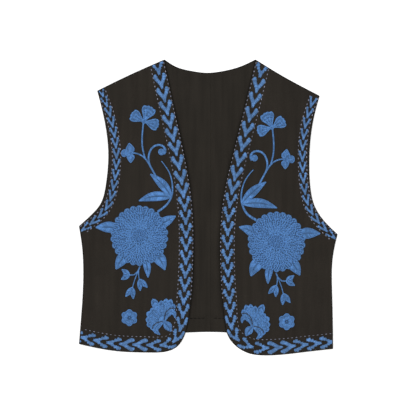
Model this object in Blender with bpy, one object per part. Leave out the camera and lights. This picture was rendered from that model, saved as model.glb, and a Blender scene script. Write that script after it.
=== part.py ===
"""An embroidered cropped vest in black cloth, laid flat with its fronts up.

Metres, +Z up, +Y towards the neck, and left and right as seen from above. The two halves of
the back lie on the surface, the fronts lie on the back, and past the back's hem the fronts come
down to the surface. The embroidery lies on the fronts.
"""

import math

import bpy
import numpy as np
from mathutils.geometry import delaunay_2d_cdt

# Cloth and seams
BACK_CLOTH = 0.0012
FRONT_CLOTH = 0.0016
SEAM_GAP = 0.0003
EDGE_ROUND = 0.0012
EDGE_SHARE = 0.3
HEM_TURN_WIDTH = 0.0265
HEM_TURN_RISE = 0.0008
HEM_TURN_EDGE = 0.0008
HEM_TURN_RAMP = 0.055

# How the fronts lie over the back
LOFT = 0.0014
LOFT_REACH = 0.065
# How far past the back's hem, and what share of the way down to the surface
DROP = ((0.001, 0.0), (0.011, 0.25), (0.021, 0.70), (0.031, 1.0))

# How finely the solids follow the cloth
EDGE_STEPS = {"opening": 0.012, "side": 0.022, "armhole": 0.014, "shoulder": 0.022}
BACK_EDGE_STEP = 0.020
FRONT_GRID = 0.014
INSIDE_GRID = 0.024
BACK_GRID = 0.030
HEM_ROW_STEP = 0.015
ROW_MARGIN = 0.0025

# Embroidery
THREAD_GAP = 0.0003
THREAD_EDGE = 0.0005
THREAD_VALLEY = 0.0008
THREAD_CREST = 0.0012
RIGHT_SHIFT = (-0.0012, -0.0108)

MM = 1000.0
LEFT, RIGHT = "left", "right"
SIDES = (LEFT, RIGHT)

FRONT_COLOUR = (0.026, 0.023, 0.019)
BACK_COLOUR = (0.025, 0.022, 0.018)
FLOWER_THREAD_COLOUR = (0.073, 0.171, 0.381)
BORDER_THREAD_COLOUR = (0.084, 0.184, 0.386)
CLOTH_ROUGHNESS = 0.92
THREAD_ROUGHNESS = 0.70

# The front's outline on each side: landmark, left x, left y, right x, right y
LANDMARKS = {
    name: {LEFT: (lx, ly), RIGHT: (rx, ry)}
    for name, lx, ly, rx, ry in (
        ("neck point", -0.0771, 0.2607, 0.0831, 0.2607),
        ("opening yoke", -0.0593, 0.1755, 0.0648, 0.1829),
        ("opening chest", -0.0389, 0.0790, 0.0426, 0.0940),
        ("opening bust", -0.0271, -0.0099, 0.0222, -0.0172),
        ("opening waist", -0.0257, -0.0655, 0.0204, -0.0743),
        ("opening low", -0.0275, -0.1250, 0.0229, -0.1447),
        ("corner top", -0.0334, -0.1913, 0.0278, -0.1950),
        ("corner upper", -0.0421, -0.2262, 0.0354, -0.2277),
        ("corner lower", -0.0561, -0.2462, 0.0495, -0.2448),
        ("corner foot", -0.0773, -0.2545, 0.0706, -0.2568),
        ("hem low", -0.1028, -0.2557, 0.0987, -0.2607),
        ("hem outer", -0.1617, -0.2531, 0.1691, -0.2548),
        ("hem side", -0.2277, -0.2404, 0.2198, -0.2490),
        ("side low", -0.2240, -0.1939, 0.2188, -0.1730),
        ("side waist", -0.2202, -0.1095, 0.2177, -0.1306),
        ("side upper", -0.2226, -0.0672, 0.2193, -0.0884),
        ("underarm", -0.2278, -0.0329, 0.2277, -0.0470),
        ("armhole foot", -0.2075, -0.0144, 0.2050, -0.0246),
        ("armhole low", -0.1897, 0.0067, 0.1857, 0.0067),
        ("armhole deep", -0.1806, 0.0384, 0.1808, 0.0278),
        ("armhole chest", -0.1760, 0.0912, 0.1779, 0.0736),
        ("armhole high", -0.1853, 0.1651, 0.1852, 0.1545),
        ("shoulder tip", -0.1957, 0.2056, 0.1961, 0.1968),
        ("shoulder middle", -0.1406, 0.2325, 0.1269, 0.2339),
    )
}

# Each edge of a front, as the landmarks that it runs through
EDGES = {
    "opening": ("neck point", "opening yoke", "opening chest", "opening bust", "opening waist",
                "opening low", "corner top", "corner upper", "corner lower", "corner foot",
                "hem low", "hem outer", "hem side"),
    "side": ("hem side", "side low", "side waist", "side upper", "underarm"),
    "armhole": ("underarm", "armhole foot", "armhole low", "armhole deep", "armhole chest",
                "armhole high", "shoulder tip"),
    "shoulder": ("shoulder tip", "shoulder middle", "neck point"),
}

# The back's own edges, from left to right, between the points that it shares with the fronts
BACK_NECK = ((-0.0561, 0.2478), (-0.0300, 0.2407), (-0.0033, 0.2374), (0.0283, 0.2409),
             (0.0565, 0.2485))
BACK_HEM = ((-0.1150, -0.2262), (-0.0350, -0.2203), (0.0000, -0.2193), (0.0350, -0.2204),
            (0.1150, -0.2300))
CENTRE_BACK = 0.0044

# Soft ridges in the fronts: side, from x, from y, to x, to y, half width, height
RIDGES = (
    (LEFT, -0.036, 0.030, -0.052, 0.150, 0.020, 0.0016),
    (LEFT, -0.034, -0.150, -0.033, -0.040, 0.018, 0.0013),
    (LEFT, -0.196, -0.060, -0.150, -0.020, 0.020, 0.0012),
    (LEFT, -0.176, -0.215, -0.186, -0.100, 0.016, 0.0010),
    (LEFT, -0.150, 0.120, -0.128, 0.190, 0.022, 0.0011),
    (RIGHT, 0.030, 0.010, 0.052, 0.130, 0.020, 0.0014),
    (RIGHT, 0.029, -0.180, 0.027, -0.060, 0.018, 0.0015),
    (RIGHT, 0.194, -0.075, 0.148, -0.030, 0.020, 0.0011),
    (RIGHT, 0.182, -0.200, 0.176, -0.095, 0.016, 0.0011),
    (RIGHT, 0.152, 0.100, 0.126, 0.185, 0.022, 0.0012),
)

# Half of one chevron's outline in each border, as along and across the border: its notch, the
# arm's inner edge up to the tip and its outer edge back, and the stem into the next notch
OPENING_CHEVRON = ((0.0120, 0.0), (0.0070, 0.0032), (-0.0006, 0.0056), (-0.0006, 0.0092),
                   (0.0026, 0.0118), (0.0092, 0.0094), (0.0186, 0.0036), (0.0262, 0.0015),
                   (0.0400, 0.0006))
ARMHOLE_CHEVRON = ((0.0096, 0.0), (0.0052, 0.0021), (-0.0006, 0.0034), (0.0004, 0.0068),
                   (0.0062, 0.0057), (0.0140, 0.0024), (0.0192, 0.0012), (0.0302, 0.0005))
# The highest points of half a chevron
OPENING_CRESTS = ((0.0034, 0.0082), (0.0112, 0.0056), (0.0170, 0.0))
ARMHOLE_CRESTS = ((0.0036, 0.0044), (0.0122, 0.0))
# How far along the border some of its chevrons are: number, distance
OPENING_PLACES = {
    LEFT: ((0, 0.0), (6, 0.1450), (8, 0.1975), (19, 0.4572), (28, 0.6680)),
    RIGHT: ((0, 0.0047), (7, 0.1916), (13, 0.3386), (19, 0.4794), (21, 0.5345), (27, 0.6730)),
}
ARMHOLE_PLACES = {
    LEFT: ((0, -0.0045), (14, 0.2573)),
    RIGHT: ((0, 0.0060), (13, 0.2582)),
}
# The border's distance from the edge: share of the way down, inset
OPENING_INSETS = {
    side: ((0.0, 0.0144), (0.22, 0.0140), (0.35, 0.0134), (0.62, 0.0132), (0.67, 0.0112),
           (0.73, 0.0104), (0.78, 0.0124), (0.84, 0.0138), (1.0, 0.0126))
    for side in (LEFT, RIGHT)
}
ARMHOLE_INSETS = {
    LEFT: ((0.0, 0.0068), (0.06, 0.0080), (0.14, 0.0108), (0.24, 0.0124), (0.45, 0.0146),
           (0.6, 0.0146), (0.85, 0.0125), (1.0, 0.0092)),
    RIGHT: ((0.0, 0.0085), (0.2, 0.0122), (0.35, 0.0130), (0.5, 0.0118), (0.7, 0.0102), (1.0, 0.0085)),
}
BORDER_MARGIN = 0.0016

# The big blossom on the left front. Its leaves are as those further down, from its centre, and
# the one towards the opening is drawn for each side.
BLOSSOM_CENTRE = (-0.1213, -0.0496)
BLOSSOM_RADII = (0.050, 0.0525)
BLOSSOM_SCALLOPS = 26
BLOSSOM_SCALLOP_DEPTH = 0.0032
BLOSSOM_RINGS = ((0.76, 26, THREAD_VALLEY), (0.56, 18, THREAD_CREST), (0.34, 12, THREAD_VALLEY),
                 (0.14, 6, THREAD_CREST))
BLOSSOM_LEAVES = (
    (0.0098, ((-0.0340, 0.0130), (-0.0550, 0.0152), (-0.0770, 0.0145))),
    (0.0100, ((-0.0200, -0.0280), (-0.0325, -0.0440), (-0.0412, -0.0590))),
    (0.0066, ((0.0090, -0.0360), (0.0138, -0.0550), (0.0152, -0.0738))),
    (0.0108, ((0.0215, -0.0270), (0.0375, -0.0435), (0.0450, -0.0605))),
)
BLOSSOM_INNER_LEAF = {
    LEFT: (0.0088, ((0.0310, 0.0150), (0.0490, 0.0265), (0.0640, 0.0345))),
    RIGHT: (0.0088, ((0.0310, 0.0070), (0.0500, 0.0215), (0.0660, 0.0260))),
}

# Stems as they are on the left front: half width at the root, half width at the tip, route. The
# main one and its leaves are drawn for each side.
MAIN_STEM = {
    LEFT: (0.0021, 0.0007, ((-0.0887, -0.0073), (-0.0785, 0.0000), (-0.0712, 0.0074),
                            (-0.0645, 0.0200), (-0.0630, 0.0370), (-0.0680, 0.0600), (-0.0825, 0.0818))),
    RIGHT: (0.0023, 0.0007, ((-0.0849, -0.0110), (-0.0711, -0.0020), (-0.0627, 0.0110),
                             (-0.0592, 0.0275), (-0.0612, 0.0450), (-0.0676, 0.0610), (-0.0806, 0.0775))),
}
STEMS = (
    (0.0017, 0.0012, ((-0.0900, 0.0500), (-0.0954, 0.0605), (-0.1038, 0.0757), (-0.1123, 0.0875),
                      (-0.1257, 0.0950), (-0.1375, 0.0960))),
    (0.0014, 0.0014, ((-0.1110, 0.0860), (-0.1156, 0.1042), (-0.1163, 0.1262), (-0.1135, 0.1540))),
    (0.0016, 0.0018, ((-0.1020, 0.0720), (-0.1052, 0.0850), (-0.1035, 0.0965), (-0.0980, 0.1058),
                      (-0.0885, 0.1102), (-0.0790, 0.1075), (-0.0758, 0.1000))),
)
CURL_KNOB = (-0.0826, 0.0978, 0.0056)

# Leaves of the main stem: half width, route from root to tip
LEAVES = {
    LEFT: (
        (0.0080, ((-0.0650, 0.0190), (-0.0800, 0.0400), (-0.1020, 0.0590))),
        (0.0086, ((-0.0655, 0.0178), (-0.0945, 0.0196), (-0.1222, 0.0115))),
    ),
    RIGHT: (
        (0.0080, ((-0.0605, 0.0185), (-0.0815, 0.0400), (-0.1028, 0.0557))),
        (0.0084, ((-0.0612, 0.0165), (-0.0910, 0.0186), (-0.1221, 0.0099))),
    ),
}

# Three-petalled flowers on the left front: centre, then angle, length, half width and end of
# each petal
TREFOILS = (
    (-0.1132, 0.1515, ((67.0, 0.0292, 0.0122, "scalloped"), (149.0, 0.0266, 0.0108, "scalloped"),
                       (344.0, 0.0274, 0.0102, "scalloped"))),
    (-0.1366, 0.0950, ((98.0, 0.0190, 0.0077, "pointed"), (177.0, 0.0168, 0.0066, "round"),
                       (270.0, 0.0170, 0.0068, "pointed"))),
)
TREFOIL_HEART = 0.0030
# Half of a petal's outline from its root to its tip, as shares of its length and half width, by
# the kind of its end, and where its crest points are
PETAL_ENDS = {
    "round": ((0.0, 0.10), (0.40, 0.60), (0.74, 1.0), (0.93, 0.70), (1.0, 0.0)),
    "pointed": ((0.0, 0.30), (0.20, 0.86), (0.44, 1.0), (0.74, 0.55), (1.0, 0.0)),
    "scalloped": ((0.0, 0.10), (0.40, 0.52), (0.76, 1.0), (0.92, 0.86), (0.93, 0.46), (1.0, 0.26),
                  (0.97, 0.0)),
}
PETAL_CRESTS = (0.40, 0.72)

# The spray of buds below the blossom: stems as above, then each bud's place, angle, length and
# spread, and how long its middle petal is beside the other two
BUD_STEMS = (
    (0.0013, 0.0011, ((-0.1205, -0.1049), (-0.1250, -0.1140), (-0.1318, -0.1188), (-0.1390, -0.1187))),
    (0.0009, 0.0009, ((-0.1230, -0.1120), (-0.1290, -0.1260), (-0.1335, -0.1420))),
    (0.0009, 0.0009, ((-0.1225, -0.1110), (-0.1222, -0.1230), (-0.1205, -0.1290))),
)
BUDS = (
    (-0.1382, -0.1187, 176.0, 0.0172, 31.0),
    (-0.1335, -0.1405, 254.0, 0.0205, 20.0),
    (-0.1212, -0.1262, 294.0, 0.0205, 20.0),
)
BUD_HALF_WIDTH = 0.0045
BUD_MIDDLE = 0.68

# The palmette near the front corner: place and size on each side, and petals as angle, length,
# half width
PALMETTE_AT = {LEFT: (-0.0782, -0.2013, 1.0), RIGHT: (0.0782, -0.2097, 0.96)}
PALMETTE_PETALS = (
    (59.0, 0.0368, 0.0054), (72.0, 0.0424, 0.0056), (84.0, 0.0418, 0.0054), (97.0, 0.0384, 0.0058),
    (116.0, 0.0456, 0.0062), (134.0, 0.0335, 0.0062), (152.0, 0.0350, 0.0062),
    (172.0, 0.0328, 0.0064), (190.0, 0.0312, 0.0060), (208.0, 0.0270, 0.0058),
)
# Its two curled petals, as half width and route, and its bulb
PALMETTE_CURLS = (
    (0.0056, ((0.0008, 0.0020), (0.0050, 0.0120), (0.0120, 0.0178), (0.0182, 0.0150), (0.0195, 0.0065))),
    (0.0056, ((-0.0015, -0.0015), (-0.0100, -0.0060), (-0.0150, -0.0120), (-0.0120, -0.0185),
              (-0.0065, -0.0225))),
)
PALMETTE_BULB = (0.0074, ((0.0004, -0.0004), (0.0070, -0.0075), (0.0128, -0.0168)))
PALMETTE_HEART = 0.0050

ROSETTE_AT = {LEFT: (-0.1389, -0.1939, 1.0), RIGHT: (0.1380, -0.2010, 1.0)}
ROSETTE_PETALS = 6
ROSETTE_RADIUS = 0.0139
ROSETTE_LOBE = 0.0036


def spline(points, step):
    """Points about step apart on the natural cubic curve through the given points."""
    p = np.asarray(points, float)
    chord = np.linalg.norm(np.diff(p, axis=0), axis=1)
    along = np.concatenate([[0.0], np.cumsum(chord)])
    matrix, slopes = np.eye(len(p)), np.zeros_like(p)
    for i in range(1, len(p) - 1):
        matrix[i, i - 1 : i + 2] = chord[i - 1], 2 * (chord[i - 1] + chord[i]), chord[i]
        slopes[i] = 6 * ((p[i + 1] - p[i]) / chord[i] - (p[i] - p[i - 1]) / chord[i - 1])
    bend = np.linalg.solve(matrix, slopes)
    at = np.linspace(0.0, along[-1], max(2, round(along[-1] / step)) + 1)
    k = np.clip(np.searchsorted(along, at, side="right") - 1, 0, len(p) - 2)
    h = chord[k][:, None]
    u = (at - along[k])[:, None]
    v = h - u
    return (
        (bend[k] * v**3 + bend[k + 1] * u**3) / (6 * h)
        + (p[k] / h - bend[k] * h / 6) * v
        + (p[k + 1] / h - bend[k + 1] * h / 6) * u
    )


def lengths_along(line):
    return np.concatenate([[0.0], np.cumsum(np.linalg.norm(np.diff(line, axis=0), axis=1))])


def normals_of(line):
    """The unit normal to the left of a line at each of its points."""
    tangent = np.gradient(line, axis=0)
    tangent /= np.linalg.norm(tangent, axis=1)[:, None]
    return np.stack([-tangent[:, 1], tangent[:, 0]], axis=1)


def edge(side, name, step=None):
    return spline([LANDMARKS[landmark][side] for landmark in EDGES[name]], step or EDGE_STEPS[name])


def back_edge(name, step=BACK_EDGE_STEP):
    """The back's neck or hem, from left to right."""
    shared, own = ("neck point", BACK_NECK) if name == "neck" else ("hem side", BACK_HEM)
    return spline([LANDMARKS[shared][LEFT], *own, LANDMARKS[shared][RIGHT]], step)


def area(ring):
    """The area inside a closed outline, negative where it runs clockwise."""
    x, y = np.asarray(ring).T
    return (x * np.roll(y, -1) - y * np.roll(x, -1)).sum() / 2


def anticlockwise(ring):
    return ring if area(ring) > 0 else ring[::-1]


def joined(lines):
    """One closed outline from edges that meet end to end, anticlockwise."""
    return anticlockwise(np.concatenate([line[:-1] for line in lines]))


def front_outline(side):
    return joined([edge(side, name) for name in ("opening", "side", "armhole", "shoulder")])


def back_outline(side):
    """Half of the back, as far as its centre seam."""
    neck, hem = back_edge("neck"), back_edge("hem")
    if side == RIGHT:
        neck, hem = neck[::-1], hem[::-1]
    sign = -1.0 if side == LEFT else 1.0
    seam_x = CENTRE_BACK + sign * SEAM_GAP / 2
    neck = neck[sign * (neck[:, 0] - seam_x) > BACK_EDGE_STEP / 4]
    hem = hem[sign * (hem[:, 0] - seam_x) > BACK_EDGE_STEP / 4]
    top = (seam_x, np.interp(seam_x, *back_edge("neck").T))
    foot = (seam_x, np.interp(seam_x, *back_edge("hem").T))
    seam = spline([top, foot], BACK_GRID)
    return joined(
        [
            np.vstack([neck, [top]]),
            seam,
            np.vstack([[foot], hem[::-1]]),
            edge(side, "side"),
            edge(side, "armhole", BACK_EDGE_STEP),
            edge(side, "shoulder"),
        ]
    )


def inset(ring, by):
    """A closed outline moved inwards, with mitred corners."""
    ahead = np.roll(ring, -1, axis=0) - ring
    ahead /= np.linalg.norm(ahead, axis=1)[:, None]
    behind = np.roll(ahead, 1, axis=0)
    inward = np.stack([-(ahead + behind)[:, 1], (ahead + behind)[:, 0]], axis=1)
    inward /= np.linalg.norm(inward, axis=1)[:, None]
    facing = (inward * np.stack([-ahead[:, 1], ahead[:, 0]], axis=1)).sum(axis=1)
    return ring + inward * (by / np.maximum(facing, 0.5))[:, None]


def distance_to(line, x, y):
    """How far each point is from a line."""
    p = np.stack([np.ravel(x), np.ravel(y)], axis=1)[:, None]
    start, run = line[None, :-1], np.diff(line, axis=0)[None]
    share = np.clip(((p - start) * run).sum(axis=2) / (run**2).sum(axis=2), 0, 1)
    return np.linalg.norm(p - start - share[..., None] * run, axis=2).min(axis=1)


def ease(t):
    """0 below 0 and 1 above 1, with a smooth rise between them."""
    t = np.clip(t, 0.0, 1.0)
    return t * t * (3 - 2 * t)


def back_top(x, y):
    """The height of the back's upper face, with its hem turned up inside."""
    inside_turn = distance_to(back_edge("hem"), x, y) < HEM_TURN_WIDTH + HEM_TURN_EDGE / 2
    return BACK_CLOTH + HEM_TURN_RISE * inside_turn


def back_clearance(x, y):
    """A smooth height that is nowhere below the back's upper face."""
    away = distance_to(back_edge("hem"), x, y) - HEM_TURN_WIDTH - HEM_TURN_EDGE
    return BACK_CLOTH + HEM_TURN_RISE * (1 - ease(away / HEM_TURN_RAMP))


def ridges(side, x, y):
    """The soft ridges of one front, as a height."""
    height = np.zeros(np.size(x))
    for where, x0, y0, x1, y1, half_width, top in RIDGES:
        if where == side:
            away = distance_to(np.array([(x0, y0), (x1, y1)]), x, y)
            height += top * np.exp(-((away / half_width) ** 2))
    return height


def front_under(side, x, y):
    """The height of a front's underside, on the back and then down to the surface past it."""
    held = [edge(side, "side"), edge(side, "shoulder"), back_edge("hem")]
    rise = ease(np.min([distance_to(line, x, y) for line in held], axis=0) / LOFT_REACH)
    resting = back_clearance(x, y) + SEAM_GAP + rise * (LOFT + ridges(side, x, y))
    hem = back_edge("hem")
    past = np.interp(x, hem[:, 0], hem[:, 1]) - y
    return resting * (1 - np.interp(past, *np.array(DROP).T))


def front_top(side, x, y):
    return front_under(side, x, y) + FRONT_CLOTH


def inside(ring, points):
    """Which points are inside a closed outline."""
    ends = np.roll(ring, -1, axis=0)
    crosses = (ring[None, :, 1] > points[:, None, 1]) != (ends[None, :, 1] > points[:, None, 1])
    run = ends - ring
    with np.errstate(divide="ignore", invalid="ignore"):
        at = ring[:, 0] + (points[:, None, 1] - ring[:, 1]) / run[:, 1] * run[:, 0]
    return (crosses & (points[:, None, 0] < at)).sum(axis=1) % 2 == 1


def inside_points(ring, spacing, margin):
    """A staggered grid of points inside a closed outline, clear of it."""
    low, high = ring.min(axis=0), ring.max(axis=0)
    grid = np.array(
        [
            (x, y)
            for row, y in enumerate(np.arange(low[1], high[1], spacing * math.sqrt(3) / 2))
            for x in np.arange(low[0] + spacing / 2 * (row % 2), high[0], spacing)
        ]
    )
    clear = distance_to(np.vstack([ring, ring[:1]]), *grid.T) > margin
    return grid[inside(ring, grid) & clear]


def filled(outlines, loose=()):
    """Triangulate closed outlines, which may overlap, through the loose points too.

    Returns the points, the triangles, and which outlines each triangle lies in.
    """
    corners = [tuple(p * MM) for ring in outlines for p in np.asarray(ring)]
    corners += [tuple(p * MM) for p in np.reshape(loose, (-1, 2))]
    starts = np.cumsum([0, *map(len, outlines)])
    faces = [list(range(a, b)) for a, b in zip(starts[:-1], starts[1:])]
    made = delaunay_2d_cdt(corners, [], faces, 1, 1e-6)
    return np.array([p[:] for p in made[0]]) / MM, made[2], [set(covers) for covers in made[5]]


def united(rings, within=()):
    """The outer outline, then those of any holes, of closed outlines that may overlap.

    Only what lies inside every outline of within is kept, and of that the largest piece.
    """
    points, triangles, covers = filled([anticlockwise(ring) for ring in (*rings, *within)])
    own = set(range(len(rings)))
    needed = set(range(len(rings), len(rings) + len(within)))
    kept = [t for t, cover in zip(triangles, covers) if needed <= cover and own & cover]
    following = dict(boundary_of(largest_piece(kept)))
    loops = []
    while following:
        vertex = min(following)
        loop = []
        while vertex in following:
            loop.append(vertex)
            vertex = following.pop(vertex)
        loops.append(points[loop])
    return sorted(loops, key=area, reverse=True)


def triangulate(loops, loose):
    """Triangles that fill an outer outline, but not its holes, through the loose points too."""
    points, triangles, covers = filled([anticlockwise(loop) for loop in loops], loose)
    return points, [list(t) for t, cover in zip(triangles, covers) if cover == {0}]


def boundary_of(triangles):
    """The edges that only one triangle has, in that triangle's direction."""
    directed = {(t[i], t[(i + 1) % 3]) for t in triangles for i in range(3)}
    return [(a, b) for a, b in directed if (b, a) not in directed]


def largest_piece(triangles):
    """The triangles of the largest patch that hangs together by its edges."""
    parent = list(range(1 + max(max(t) for t in triangles)))

    def root(v):
        while parent[v] != v:
            parent[v] = parent[parent[v]]
            v = parent[v]
        return v

    for a, b, c in triangles:
        parent[root(a)] = root(c)
        parent[root(b)] = root(c)
    sizes = {}
    for t in triangles:
        sizes[root(t[0])] = sizes.get(root(t[0]), 0) + 1
    biggest = max(sizes, key=sizes.get)
    return [t for t in triangles if root(t[0]) == biggest]


def material(name, colour, roughness):
    made = bpy.data.materials.new(name)
    made.use_nodes = True
    shader = made.node_tree.nodes["Principled BSDF"]
    shader.inputs["Base Color"].default_value = (*colour, 1.0)
    shader.inputs["Roughness"].default_value = roughness
    shader.inputs["Metallic"].default_value = 0.0
    return made


def add_solid(name, points, faces, colour, roughness):
    mesh = bpy.data.meshes.new(name)
    mesh.from_pydata([tuple(map(float, p)) for p in points], [], faces)
    mesh.validate()
    mesh.shade_smooth()
    mesh.set_sharp_from_angle(angle=math.radians(40))
    mesh.materials.append(material(name, colour, roughness))
    made = bpy.data.objects.new(name, mesh)
    bpy.context.scene.collection.objects.link(made)


def add_panel(name, ring, colour, grids, heights, rows):
    """A panel of cloth: a wall between two heights inside an outline, with rounded edges.

    Its grids, heights and rows of points are those of its upper face and its underside.
    """
    top_height, under_height = heights
    inner = inset(ring, EDGE_ROUND)
    count = len(ring)
    points, faces = [], []

    def face(spacing, height, edge_height, rows, upwards):
        grid = inside_points(inner, spacing, spacing * 0.45)
        if len(rows):
            near_row = [np.linalg.norm(rows - g, axis=1).min() < spacing * 0.3 for g in grid]
            grid = np.vstack([grid[~np.array(near_row)], rows])
        flat, triangles = triangulate([inner], grid)
        base = len(points)
        points.extend((x, y, z) for (x, y), z in zip(flat, height(*flat.T)))
        points.extend((x, y, z) for (x, y), z in zip(ring, edge_height(*ring.T)))
        order = 1 if upwards else -1
        faces.extend([v + base for v in t][::order] for t in triangles)
        rim = base + len(flat)
        near = [int(np.linalg.norm(flat - p, axis=1).argmin()) + base for p in inner]
        for i in range(count):
            j = (i + 1) % count
            faces.append([rim + i, rim + j, near[j]][::order])
            faces.append([rim + i, near[j], near[i]][::order])
        return rim

    def thick(x, y):
        return top_height(x, y) - under_height(x, y)

    top_rim = face(
        grids[0], top_height, lambda x, y: top_height(x, y) - EDGE_SHARE * thick(x, y), rows[0], True
    )
    under_rim = face(
        grids[1], under_height, lambda x, y: under_height(x, y) + EDGE_SHARE * thick(x, y), rows[1], False
    )
    for i in range(count):
        j = (i + 1) % count
        faces.append([under_rim + i, under_rim + j, top_rim + j])
        faces.append([under_rim + i, top_rim + j, top_rim + i])
    add_solid(name, points, faces, colour, CLOTH_ROUGHNESS)


def hem_rows(ring, offsets):
    """Rows of points along the back's hem at some distances above it, kept inside an outline."""
    hem = back_edge("hem", HEM_ROW_STEP)
    rows = np.vstack([hem + normals_of(hem) * offset for offset in offsets])
    return rows[inside(ring, rows) & (distance_to(np.vstack([ring, ring[:1]]), *rows.T) > ROW_MARGIN)]


def add_back(side):
    """Half of the back. Its underside rests flat, and its hem is turned up on the upper face."""
    ring = back_outline(side)
    rows = hem_rows(ring, (HEM_TURN_WIDTH, HEM_TURN_WIDTH + HEM_TURN_EDGE))
    heights = (back_top, lambda x, y: 0.0 * x)
    add_panel(f"back_{side}", ring, BACK_COLOUR, (BACK_GRID, BACK_GRID), heights, (rows, rows[:0]))


def add_front(side):
    ring = front_outline(side)
    turn = HEM_TURN_WIDTH + HEM_TURN_EDGE
    rows = hem_rows(ring, (*(-past for past, _ in DROP), turn, turn + HEM_TURN_RAMP))
    heights = (lambda x, y: front_top(side, x, y), lambda x, y: front_under(side, x, y))
    add_panel(f"front_{side}", ring, FRONT_COLOUR, (FRONT_GRID, INSIDE_GRID), heights, (rows, rows))


def add_stitched(name, side, rings, crests, colour=FLOWER_THREAD_COLOUR, within=()):
    """A patch of embroidery on a front, crowned between its outline and its crests."""
    levels = {(round(x, 6), round(y, 6)): z for x, y, z in crests}
    loops = united(rings, within)
    crests = np.array(crests)
    own = np.sum([inside(loop, crests[:, :2]) for loop in loops], axis=0) == 1
    flat, triangles = triangulate(loops, crests[own, :2])
    rim = boundary_of(triangles)
    on_rim = {a for a, _ in rim}
    base = front_top(side, *flat.T) + THREAD_GAP
    raised = [
        THREAD_EDGE if i in on_rim else levels.get((round(x, 6), round(y, 6)), THREAD_VALLEY)
        for i, (x, y) in enumerate(flat)
    ]
    points = [(x, y, z + h) for (x, y), z, h in zip(flat, base, raised)]
    points += [(x, y, z) for (x, y), z in zip(flat, base)]
    low = len(flat)
    faces = [list(t) for t in triangles]
    faces += [[v + low for v in t][::-1] for t in triangles]
    for a, b in rim:
        faces += [[b, a, a + low], [b, a + low, b + low]]
    add_solid(name, points, faces, colour, THREAD_ROUGHNESS)


def mirrored(side, points):
    """Points of the left front's design, placed on one side."""
    p = np.array(points, float)
    if side == RIGHT:
        p = np.concatenate([p[:, :2] * (-1, 1) + RIGHT_SHIFT, p[:, 2:]], axis=1)
    return p


def turned(points, angle):
    c, s = math.cos(math.radians(angle)), math.sin(math.radians(angle))
    return np.asarray(points) @ np.array([(c, s), (-s, c)])


def blade(route, widths, step):
    """The closed outline of a strip along a route. widths gives its half width from root to tip."""
    line = spline(route, step)
    share = lengths_along(line) / lengths_along(line)[-1]
    across = normals_of(line) * widths(share)[:, None]
    return np.vstack([line + across, (line - across)[::-1]]), line


def stem(root, tip, route):
    ring, line = blade(route, lambda t: root + (tip - root) * t, 0.008)
    return ring, [(x, y, THREAD_CREST) for x, y in line[1:-1]]


def leaf(half_width, route, step=0.009):
    """A pointed leaf, widest a little below its middle."""
    ring, line = blade(route, lambda t: half_width * (0.06 + 0.94 * np.sin(math.pi * t**0.85)), step)
    return ring, [(x, y, THREAD_CREST) for x, y in line[1:-1]]


def petal(centre, angle, length, half_width, end="round"):
    """A petal that widens from its root and has a round, pointed or scalloped end."""
    half = PETAL_ENDS[end]
    outline = np.array([*((x, -y) for x, y in half), *half[-2::-1]]) * (length, half_width)
    crest = turned([(length * share, 0.0) for share in PETAL_CRESTS], angle) + centre
    return turned(outline, angle) + centre, [(x, y, THREAD_CREST) for x, y in crest]


def disc(centre, radius, count):
    turn = np.linspace(0, 2 * math.pi, count, endpoint=False)
    return np.stack([np.cos(turn), np.sin(turn)], axis=1) * radius + centre


def add_design(name, side, shapes, place=None):
    """A stitched patch from the shapes of the left front's design, mirrored on the right."""
    rings, crests = [], []
    for ring, crest in shapes:
        rings.append(place(ring) if place else mirrored(side, ring))
        if crest:
            crests.extend(place(crest) if place else mirrored(side, crest))
    add_stitched(name, side, rings, crests)


def blossom_rim(turn, share=1.0, scallop=0.0):
    """Points of the ellipse that the blossom's scallops follow, or of a smaller one inside it."""
    out = np.stack([np.cos(turn), np.sin(turn)], axis=1)
    return out * (np.array(BLOSSOM_RADII) * share + np.reshape(scallop, (-1, 1))) + BLOSSOM_CENTRE


def blossom_shapes(side):
    turn = np.linspace(0, 2 * math.pi, BLOSSOM_SCALLOPS * 3, endpoint=False)
    scallop = BLOSSOM_SCALLOP_DEPTH * (np.abs(np.sin(turn * BLOSSOM_SCALLOPS / 2)) - 0.6)
    rim = blossom_rim(turn, 1.0, scallop)
    crests = []
    for share, count, height in BLOSSOM_RINGS:
        ring = blossom_rim(np.arange(count) * 2 * math.pi / count, share)
        crests += [(x, y, height if i % 2 else THREAD_CREST) for i, (x, y) in enumerate(ring)]
    shapes = [(rim, crests)]
    for half_width, route in (*BLOSSOM_LEAVES, BLOSSOM_INNER_LEAF[side]):
        shapes.append(leaf(half_width, np.add(route, BLOSSOM_CENTRE)))
    return [(ring, [c for c in crest if clear_of_rim(c, rim)]) for ring, crest in shapes]


def clear_of_rim(crest, rim, margin=0.002):
    return distance_to(np.vstack([rim, rim[:1]]), crest[0], crest[1])[0] > margin


def sprig_shapes(side):
    shapes = [stem(*row) for row in (MAIN_STEM[side], *STEMS)]
    shapes += [leaf(*row) for row in LEAVES[side]]
    shapes.append((disc(CURL_KNOB[:2], CURL_KNOB[2], 10), [(*CURL_KNOB[:2], THREAD_CREST)]))
    for x, y, petals in TREFOILS:
        shapes += [petal((x, y), *row) for row in petals]
        shapes.append((disc((x, y), TREFOIL_HEART, 6), [(x, y, THREAD_CREST)]))
    return shapes


def bud_shapes():
    """The spray of buds, each with three pointed petals."""
    shapes = [stem(*row) for row in BUD_STEMS]
    for x, y, angle, length, spread in BUDS:
        for offset, share in ((-spread, 1.0), (0.0, BUD_MIDDLE), (spread, 1.0)):
            route = turned([(0.0, 0.0), (length * 0.5, 0.0), (length, 0.0)], angle + offset)
            shapes.append(leaf(BUD_HALF_WIDTH, route * share + (x, y), 0.006))
    return shapes


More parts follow.
